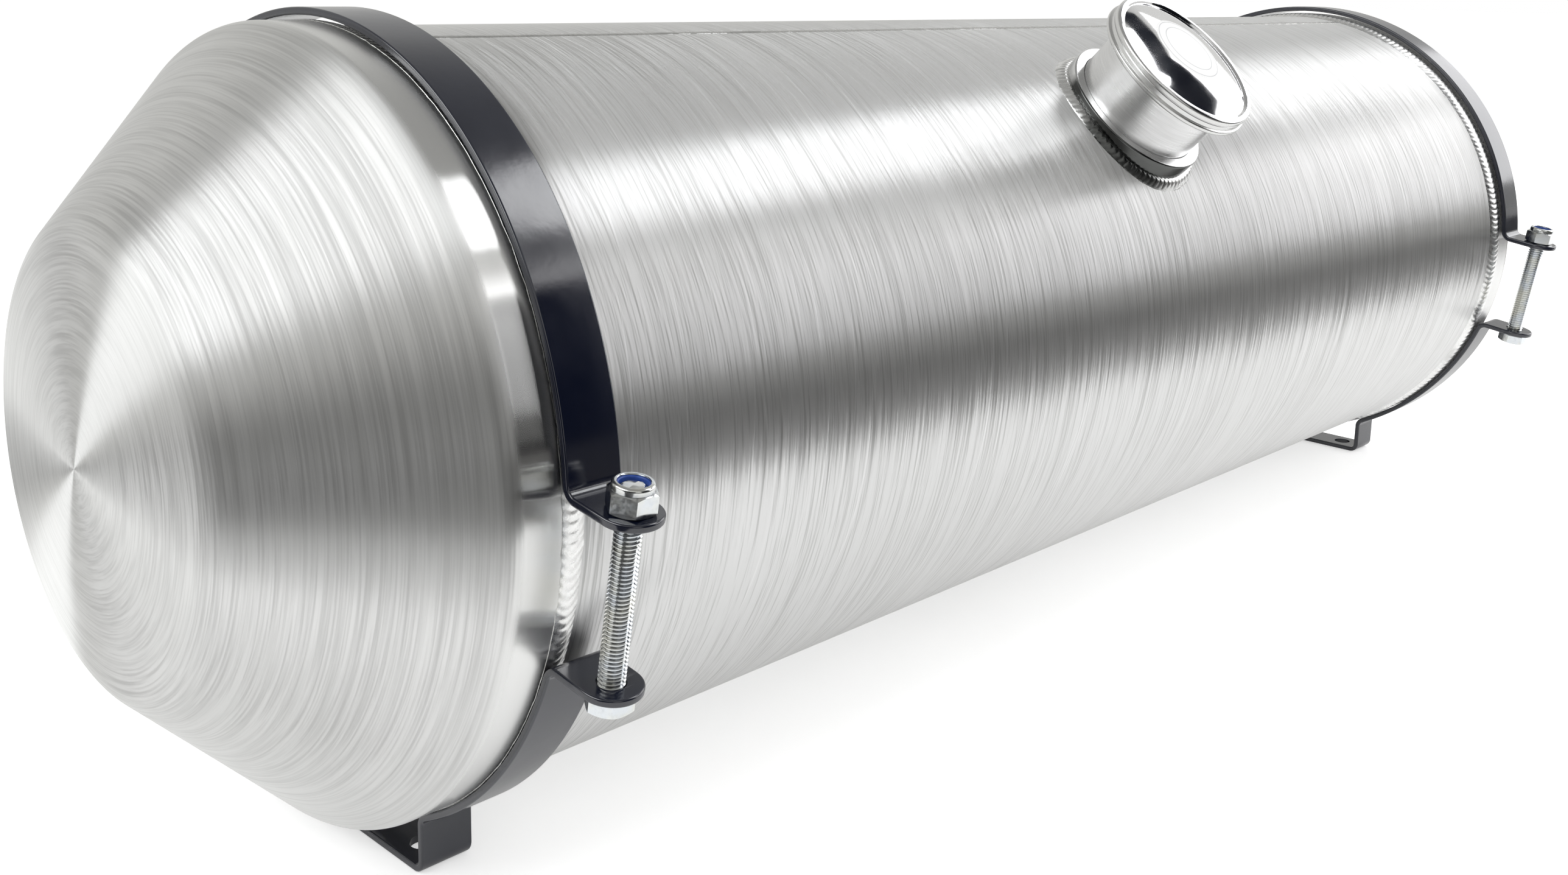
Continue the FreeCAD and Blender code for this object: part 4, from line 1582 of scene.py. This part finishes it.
    def plate(self) -> None:
        """Locking plate: a disc with two tabs whose tips are turned slightly down."""
        half = self.tab_half_width
        root = math.asin(half / self.plate_radius)
        tip = 1.2
        quarter = [(self.tab_reach - tip + tip * math.cos(a), half - tip + tip * math.sin(a))
                   for a in np.linspace(0, math.pi / 2, 5)]
        reach = np.linspace(self.tab_reach - tip, self.plate_radius * math.cos(root), 5)[1:]
        quarter += [(float(x), half) for x in reach]
        quarter += [(self.plate_radius * math.cos(a), self.plate_radius * math.sin(a))
                    for a in np.linspace(root, math.pi / 2, 14)[1:]]
        right = quarter + [(-x, y) for x, y in reversed(quarter[:-1])]
        edge = np.array(right + [(x, -y) for x, y in reversed(right)])
        outward = edge / np.linalg.norm(edge, axis=1, keepdims=True)
        hole = outward * self.post_radius
        foot, top, bevel = self.plate_foot, self.plate_foot + self.plate_thickness, 0.2
        rows = [np.column_stack([line, np.full(len(line), height)]) for line, height in
                ((hole, foot), (edge - outward * bevel, foot), (edge, foot + bevel),
                 (edge, top - bevel), (edge - outward * bevel, top), (hole, top))]
        plate = skin("locking_plate_pressed", np.array(rows), True, True, self.layout.filler)
        dress(plate, self.finishes.steel, Slot.CAP_STEEL, Body.CAP, "locking_plate")


class Path:
    """Line of straight runs and arcs in the YZ plane, by the distance along it."""

    def __init__(self, start: tuple[float, float], heading: float) -> None:
        """Start a line.

        Args:
            start: first point.
            heading: angle from +Y towards +Z, in radians.
        """
        self.runs: list[tuple[float, float, np.ndarray, float, float]] = []
        self.length = 0.0
        self.point = np.array(start, float)
        self.heading = heading

    def go(self, length: float, curvature: float = 0.0) -> "Path":
        """Add a run.

        Args:
            length: its length.
            curvature: one over its radius, positive where it turns left.

        Returns:
            The same line.
        """
        self.runs.append((self.length, length, self.point.copy(), self.heading, curvature))
        point, heading = self.at(np.array([self.length + length]))
        self.point, self.heading = point[0], float(heading[0])
        self.length += length
        return self

    def bend(self, radius: float, angle: float) -> "Path":
        """Add an arc of a turn in radians, left where it is positive."""
        return self.go(radius * abs(angle), math.copysign(1 / radius, angle))

    def at(self, along: np.ndarray) -> tuple[np.ndarray, np.ndarray]:
        """Points and headings on the line.

        Args:
            along: distances along it.

        Returns:
            Points as (count, 2) and headings in radians.
        """
        points = np.zeros((*along.shape, 2))
        headings = np.zeros(along.shape)
        for start, length, origin, heading, curvature in self.runs:
            inside = along >= start - 1e-9
            gone = along[inside] - start
            turn = heading + curvature * gone
            if curvature:
                step = np.column_stack([np.sin(turn) - math.sin(heading),
                                        math.cos(heading) - np.cos(turn)])
                points[inside] = origin + step / curvature
            else:
                ahead = np.array((math.cos(heading), math.sin(heading)))
                points[inside] = origin + gone[:, None] * ahead
            headings[inside] = turn
        return points, headings

    def stations(self, longest: float, sweep: float) -> np.ndarray:
        """Distances along the line at which a mesh needs a row.

        Args:
            longest: longest step.
            sweep: furthest turn of a step, in radians.

        Returns:
            The distances, from 0 to the line's length.
        """
        marks = [np.array([0.0])]
        for start, length, _, _, curvature in self.runs:
            steps = max(1, math.ceil(length / longest), math.ceil(length * abs(curvature) / sweep))
            marks.append(start + length * np.arange(1, steps + 1) / steps)
        return np.concatenate(marks)


@dataclass
class Strap:
    """One flat bar bent into the ears, the ring round the cap and the foot."""

    layout: TankLayout
    finishes: Finishes
    end: End
    from_middle: float = 335.0
    width: float = 19.0
    thickness: float = 2.5
    gap: float = 0.3
    slack: float = 0.6
    bend: float = 4.5
    foot_bend: float = 3.6
    foot_half_width: float = 57.0
    foot_hole: float = 43.0
    foot_hole_radius: float = 4.5
    ear_angle: float = -8.9
    ear_gap: float = 49.6
    bolt_reach: float = 12.2
    ear_hole_radius: float = 4.4
    edge_bend: float = 0.7
    row_step: float = 4.0
    row_turn: float = 4.0
    hole_steps: int = 48

    @property
    def place(self) -> float:
        """Place along the tank."""
        return self.end.value * self.from_middle

    @property
    def ring_radius(self) -> float:
        """Middle line of the ring."""
        return self.layout.flange_radius + self.gap + self.slack + self.thickness / 2

    @property
    def height(self) -> float:
        """Height of the ring's middle."""
        return self.layout.axis_height + self.slack

    @property
    def bolt_distance(self) -> float:
        """Bolt from the ring's middle."""
        return self.ring_radius + self.thickness / 2 + self.bolt_reach

    @property
    def bolt_axis(self) -> Axis:
        """Axis of the bolt.

        Returns:
            Axis from midway between the ears upwards.
        """
        lean = math.radians(self.ear_angle)
        return Axis((self.place, -self.bolt_distance * math.cos(lean),
                     self.height + self.bolt_distance * math.sin(lean)),
                    (0, math.sin(lean), math.cos(lean)), (1, 0, 0))

    def line(self) -> Path:
        """Middle line of the bar.

        Returns:
            Line from the upper ear's tip over the top to the lower ear's tip.
        """
        lean = math.radians(self.ear_angle)
        out = np.array((-math.cos(lean), math.sin(lean)))
        up = np.array((math.sin(lean), math.cos(lean)))
        reach = self.ring_radius + self.bend
        ear = (self.ear_gap + self.thickness) / 2
        leg = self.foot_half_width - self.thickness / 2
        ear_turn = math.asin((ear + self.bend) / reach)
        leg_turn = math.asin((leg + self.bend) / reach)
        tip = self.bolt_distance + self.width / 2
        run = tip - math.sqrt(reach ** 2 - (ear + self.bend) ** 2)
        drop = (self.height - self.thickness / 2 - self.foot_bend
                - math.sqrt(reach ** 2 - (leg + self.bend) ** 2))
        start = out * tip + up * ear
        path = Path((start[0], start[1] + self.height), -lean)
        path.go(run).bend(self.bend, math.pi / 2 - ear_turn)
        first = math.pi - lean - ear_turn
        path.bend(self.ring_radius, -(first - (leg_turn - math.pi / 2)))
        path.bend(self.bend, math.pi / 2 - leg_turn).go(drop).bend(self.foot_bend, -math.pi / 2)
        path.go(2 * (leg - self.foot_bend)).bend(self.foot_bend, -math.pi / 2).go(drop)
        path.bend(self.bend, math.pi / 2 - leg_turn)
        path.bend(self.ring_radius, -((3 * math.pi / 2 - leg_turn) - (math.pi - lean + ear_turn)))
        path.bend(self.bend, math.pi / 2 - ear_turn).go(run)
        return path

    def build(self) -> None:
        """Build the bar and drill it."""
        path = self.line()
        half, thick = self.width / 2, self.thickness / 2
        layers = [(self.edge_bend * (1 - math.sin(a)), thick - self.edge_bend * (1 - math.cos(a)))
                  for a in np.linspace(0, math.pi / 2, 5)]
        layers += [(d, -t) for d, t in reversed(layers)]
        marks = path.stations(self.row_step, math.radians(self.row_turn))
        marks = marks[(marks > half) & (marks < path.length - half)]
        tips = np.linspace(0, math.pi / 2, 13)
        columns = []
        for side, order in ((-1, layers), (1, list(reversed(layers)))):
            for inset, rise in order:
                radius = half - inset
                first = half - radius * np.cos(tips)
                along = np.concatenate([first, marks, (path.length - first)[::-1]])
                tip = radius * np.sin(tips)
                wide = np.concatenate([tip, np.full(marks.size, radius), tip[::-1]])
                points, heading = path.at(along)
                up = np.stack([-np.sin(heading), np.cos(heading)], axis=-1)
                columns.append(np.column_stack([self.place + side * wide, points + up * rise]))
        bar = skin(f"{self.end.word}_strap_bar", np.stack(columns, axis=1), False, True, crease=40)
        ears = rod(self.bolt_axis, self.ear_hole_radius, -60, 60, self.hole_steps)
        feet = [rod(Axis((self.place, side * self.foot_hole, 0), (0, 0, 1), (1, 0, 0)),
                    self.foot_hole_radius, -5, 9, self.hole_steps) for side in (-1, 1)]
        cut(bar, ears, *feet, crease=40)
        dress(bar, self.finishes.paint, Slot.BLACK_PAINT, Body.TANK, f"{self.end.word}_strap")


@dataclass
class Fastener:
    """Threaded hexagon bolt with its lock nut and nylon insert."""

    finishes: Finishes
    end: End
    axis: Axis
    ear_face: float = 27.3
    radius: float = 4.0
    root: float = 3.35
    core: float = 2.6
    taper: float = 1.3
    pitch: float = 1.25
    bolt_end: float = 7.4
    flats: float = 13.0
    head: float = 5.3
    nut_height: float = 6.3
    collar_radius: float = 6.1
    collar_height: float = 2.2
    collar_lip: float = 0.4
    collar_bend: float = 0.9
    insert_wall: float = 1.1
    insert_height: float = 1.6
    fit: float = 0.05
    columns: int = 72
    thread_steps: int = 36
    crease: float = 28.0

    def build(self) -> None:
        """Build the bolt, the nut and the insert."""
        self.bolt()
        self.nut()
        self.insert()

    def hex_row(self, height: float, inset: float = 0.0, chamfer: float = 0.0) -> Row:
        """Row of points on the hexagon.

        Args:
            height: height of the row at the flats.
            inset: distance of the row inside the hexagon.
            chamfer: drop of the corners below the flats for each unit beyond them.

        Returns:
            Radius and height at each step round the axis.
        """
        within = np.mod(circle(self.columns), math.pi / 3) - math.pi / 6
        side = self.flats / 2 / np.cos(within) - inset
        return side, height - chamfer * np.maximum(0, side - self.flats / 2 * 0.985)

    def polar(self, name: str, rows: Sequence[Row], closed: bool) -> Piece:
        """Piece from rows of radius and height round the axis."""
        return skin(name, turned(rows, circle(self.columns)), closed, True, self.axis, self.crease)

    def bolt(self) -> None:
        """Head and threaded shank, joined under the head."""
        base = -self.ear_face
        foot = base - self.head
        rows = [(0, foot + 0.25), (self.flats * 0.30, foot + 0.25), (self.flats * 0.36, foot),
                (self.flats * 0.475, foot), self.hex_row(foot + 0.18, chamfer=-0.55),
                self.hex_row(foot + 0.9), self.hex_row(base - 0.9),
                self.hex_row(base - 0.45, inset=0.12), (self.flats * 0.47, base - 0.35),
                (self.flats * 0.46, base), (0, base)]
        head = self.polar("head", rows, False)
        shank = self.thread(base - 0.5, self.ear_face + self.bolt_end)
        joined = join(f"{self.end.word}_bolt_threaded", head, shank)
        dress(joined, self.finishes.zinc, Slot.ZINC_PLATE, Body.TANK, f"{self.end.word}_bolt")

    def thread(self, start: float, end: float) -> Piece:
        """Shank with a helical thread, whose rows follow the helix.

        Args:
            start: height of its start.
            end: height of its end.

        Returns:
            The shank.
        """
        outline = ((self.root, 0.0), (self.root, 0.12), (self.radius, 0.50), (self.radius, 0.62))
        turns = math.ceil((end - start) / self.pitch) + 2
        angle = np.append(circle(self.thread_steps), TURN)
        rows = [(0, start)]
        for turn in range(-1, turns):
            for radius, share in outline:
                height = start + (turn + share + angle / TURN) * self.pitch
                taper = self.radius - np.maximum(0, self.taper - (end - height)) * 0.75
                ring = np.minimum(radius, np.maximum(taper, self.core))
                outside = (height < start) | (height > end)
                rows.append((np.where(outside, self.core, ring), np.clip(height, start, end)))
        rows.append((0, end))
        return skin("shank", turned(rows, angle), False, False, self.axis, 30)

    def nut(self) -> None:
        """Hexagon with a rounded collar crimped over the insert."""
        base, top = self.ear_face, self.ear_face + self.nut_height
        crest = top + self.collar_height
        bore = self.radius + self.fit
        pocket = bore + self.insert_wall + self.fit
        mouth = bore + self.insert_wall / 2
        rows = [(bore, base + 0.4), (bore + 0.4, base), (self.flats * 0.475, base),
                self.hex_row(base + 0.15, chamfer=-0.5), self.hex_row(base + 0.8),
                self.hex_row(top - 0.5), self.hex_row(top - 0.05, chamfer=0.58),
                (self.flats * 0.488, top + 0.02), (self.collar_radius, top + 0.08)]
        bend = self.collar_bend
        rows += [(self.collar_radius - bend * (1 - math.cos(a)), crest - bend * (1 - math.sin(a)))
                 for a in np.linspace(0, math.pi / 2, 6)]
        rows += [(mouth + 0.15, crest), (mouth, crest - 0.12), (mouth, crest - self.collar_lip),
                 (pocket, crest - self.collar_lip), (pocket, top), (bore, top)]
        nut = self.polar(f"{self.end.word}_lock_nut", rows, True)
        dress(nut, self.finishes.zinc, Slot.ZINC_PLATE, Body.TANK, f"{self.end.word}_nut")

    def insert(self) -> None:
        """Nylon ring."""
        bore = self.radius + self.fit
        foot = self.ear_face + self.nut_height + self.fit
        rim = bore + self.insert_wall
        top = foot + self.insert_height
        ring = rounded([Corner(bore, foot, 0.1), Corner(rim, foot, 0.2), Corner(rim, top, 0.2),
                        Corner(bore, top, 0.35)])
        insert = lathe(f"{self.end.word}_nylon_insert", self.axis, ring, 64)
        dress(insert, self.finishes.nylon, Slot.NYLON, Body.TANK, f"{self.end.word}_lock_ring")


def join(name: str, *pieces: Piece) -> Piece:
    """One piece from several that share a frame.

    Args:
        name: name of the piece.
        pieces: closed parts of it, which are removed.

    Returns:
        The joined piece.
    """
    work = bmesh.new()
    for piece in pieces:
        work.from_mesh(piece.data)
    mesh = bpy.data.meshes.new(name)
    work.to_mesh(mesh)
    work.free()
    joined = placed(name, mesh, pieces[0].matrix_world)
    smooth(mesh, Fastener.crease)
    for piece in pieces:
        bpy.data.objects.remove(piece)
    return joined


# Studio

@dataclass(frozen=True)
class Shot:
    """Camera that matches the photograph."""

    place: Triple = (-0.59312, -0.45220, 0.28289)
    azimuth: float = 45.86
    elevation: float = 10.21
    roll: float = 1.15
    sensor: float = 36.0
    lens: float = 36.04
    shift: float = -0.1142

    def build(self) -> None:
        """Create the camera and make it the scene's."""
        azimuth, elevation = math.radians(self.azimuth), math.radians(self.elevation)
        roll = math.radians(self.roll)
        forward = Vector((math.sin(azimuth) * math.cos(elevation),
                          math.cos(azimuth) * math.cos(elevation), -math.sin(elevation)))
        level = forward.cross(Vector((0, 0, 1))).normalized()
        upright = level.cross(forward)
        right = level * math.cos(roll) + upright * math.sin(roll)
        up = upright * math.cos(roll) - level * math.sin(roll)
        data = bpy.data.cameras.new("photo_camera")
        data.lens = self.lens
        data.sensor_width = self.sensor
        data.sensor_fit = "HORIZONTAL"
        data.shift_y = self.shift
        data.clip_start = 0.01
        turn = Matrix((right, up, -forward)).transposed().to_4x4()
        pose = Matrix.Translation(Vector(self.place)) @ turn
        bpy.context.scene.camera = placed("photo_camera", data, pose)


@dataclass(frozen=True)
class Panel:
    """Flat soft light or dark flag that faces a point."""

    name: str
    place: Triple
    aim: Triple
    size: tuple[float, float]
    level: float
    colour: Colour = WHITE
    oval: bool = False

    def pose(self) -> Matrix:
        """Place of the panel, with its face towards the aim.

        Returns:
            The transform, in metres.
        """
        away = (Vector(self.place) - Vector(self.aim)).normalized()
        facing = away.to_track_quat("Z", "Y").to_matrix().to_4x4()
        return Matrix.Translation(Vector(self.place)) @ facing

    def lamp(self) -> None:
        """Build it as an area lamp whose face is as bright as its level."""
        data = bpy.data.lights.new(self.name, "AREA")
        data.shape = "ELLIPSE" if self.oval else "RECTANGLE"
        data.size, data.size_y = self.size
        data.color = self.colour
        face = self.size[0] * self.size[1] * (math.pi / 4 if self.oval else 1.0)
        data.energy = self.level * math.pi * face
        placed(self.name, data, self.pose())

    def flag(self) -> None:
        """Build it as a card that only reflections see."""
        mesh = rectangle(self.name, *self.size)
        card = placed(self.name, mesh, self.pose())
        material = bpy.data.materials.new(self.name)
        material.use_nodes = True
        tree = material.node_tree
        tree.nodes.clear()
        glow = tree.nodes.new("ShaderNodeEmission")
        glow.inputs["Color"].default_value = (*self.colour, 1.0)
        glow.inputs["Strength"].default_value = self.level
        output = tree.nodes.new("ShaderNodeOutputMaterial")
        tree.links.new(glow.outputs[0], output.inputs["Surface"])
        mesh.materials.append(material)
        card.visible_camera = False
        card.visible_diffuse = False
        card.visible_shadow = False
        card.visible_transmission = False


@dataclass
class Studio:
    """Pale floor, even room and soft lights."""

    room: Colour = (1.0, 0.997, 0.972)
    room_level: float = 0.62
    wall_level: float = 0.70
    ceiling_level: float = 0.31
    floor_colour: Colour = (0.90, 0.90, 0.90)
    floor_roughness: float = 0.6
    floor_in_camera: float = 0.50
    floor_in_gloss: float = 0.20
    floor_size: float = 40.0
    lamps: tuple[Panel, ...] = (
        Panel("key_softbox", (0.93, -0.575, 1.58), (-0.30, -0.10, 0.20), (0.80, 0.54), 4.8,
              (0.97, 0.98, 1.0), oval=True),
        Panel("right_wall", (2.00, -0.95, 1.12), (0.0, -0.1, 0.20), (2.4, 1.65), 2.15,
              (0.98, 0.98, 1.0)),
        Panel("left_softbox", (-1.616, 0.213, 1.317), (-0.38, -0.05, 0.18), (1.80, 0.72), 3.8,
              (0.97, 0.985, 1.0)),
    )
    flags: tuple[Panel, ...] = (
        Panel("beyond_the_table", (0.5, -2.46, 0.003), (0.5, -2.46, -1.0), (7.0, 4.0), 0.12,
              (1.0, 0.98, 0.96)),
        Panel("behind_the_camera", (-1.12, -0.60, 0.19), (-0.38, -0.12, 0.16), (1.15, 0.60), 0.04),
        Panel("table_by_the_camera", (-1.20, -0.735, 0.004), (-1.20, -0.735, -1.0), (1.4, 1.13),
              0.08),
        Panel("table_edge_behind", (-0.25, 0.485, 0.003), (-0.25, 0.485, -1.0), (1.0, 0.22), 0.04),
        Panel("dark_doorway", (0.55, -2.15, 0.80), (-0.335, -0.14, 0.2), (1.9, 1.6), 0.006,
              (0.7, 0.8, 1.0)),
        Panel("dark_beam", (0.61, -0.235, 0.92), (-0.01, -0.118, 0.26), (0.50, 0.13), 0.02,
              (0.6, 0.7, 1.0)),
        Panel("dark_sleeve", (0.531, -0.469, 0.700), (-0.01, -0.118, 0.26), (0.34, 0.25), 0.012,
              (0.5, 0.6, 1.0)),
    )

    def build(self) -> None:
        """Build the floor, the room's light, the lamps and the flags."""
        self.floor()
        self.air()
        for lamp in self.lamps:
            lamp.lamp()
        for flag in self.flags:
            flag.flag()
        bpy.context.scene.view_settings.view_transform = "Standard"

    def floor(self) -> None:
        """Large plain floor with a faint mottle."""
        mesh = rectangle("floor", self.floor_size, self.floor_size)
        floor = placed("floor", mesh, WORLD.matrix())
        recipe = Recipe("pale_floor")
        mottle = recipe.grain(3, detail=2.0)
        base = recipe.tint(mottle, self.floor_colour, tuple(0.985 * c for c in self.floor_colour))
        glow = recipe.seen_by(Camera=self.floor_in_camera, Glossy=self.floor_in_gloss,
                              Transmission=self.floor_in_camera)
        recipe.surface(Base_Color=base, Roughness=self.floor_roughness, Emission_Color=WHITE,
                       Emission_Strength=glow)
        mesh.materials.append(recipe.material)

    def air(self) -> None:
        """Even light; gloss sees pale walls under a dimmer ceiling, the camera sees white."""
        world = bpy.data.worlds.new("studio_air")
        recipe = Recipe.of_air(world)
        _, _, height = recipe.parts()
        rays = recipe.add("ShaderNodeLightPath")
        room = recipe.span(height, 0.55, 0.82, self.wall_level, self.ceiling_level)
        colour = recipe.tint(rays.outputs["Is Camera Ray"], self.room, WHITE)
        level = recipe.blend(rays.outputs["Is Glossy Ray"], self.room_level, room)
        shown = recipe.blend(rays.outputs["Is Camera Ray"], level, 1.0)
        recipe.surface(Color=colour, Strength=shown)
        bpy.context.scene.world = world


def main() -> None:
    """Build every sub-assembly in order, then the studio and the camera."""
    logging.basicConfig(level=logging.INFO, format="%(name)s: %(message)s")
    layout = TankLayout()
    finishes = Finishes.mixed(layout.filler)
    outlet = Outlet(layout, finishes)
    Barrel(layout, finishes, outlet).build()
    outlet.build()
    for end in End:
        EndCap(layout, finishes, end).build()
        strap = Strap(layout, finishes, end)
        strap.build()
        Fastener(finishes, end, strap.bolt_axis).build()
    Filler(layout, finishes).build()
    FillerCap(layout, finishes).build()
    Studio().build()
    Shot().build()


if __name__ == "__main__":
    main()
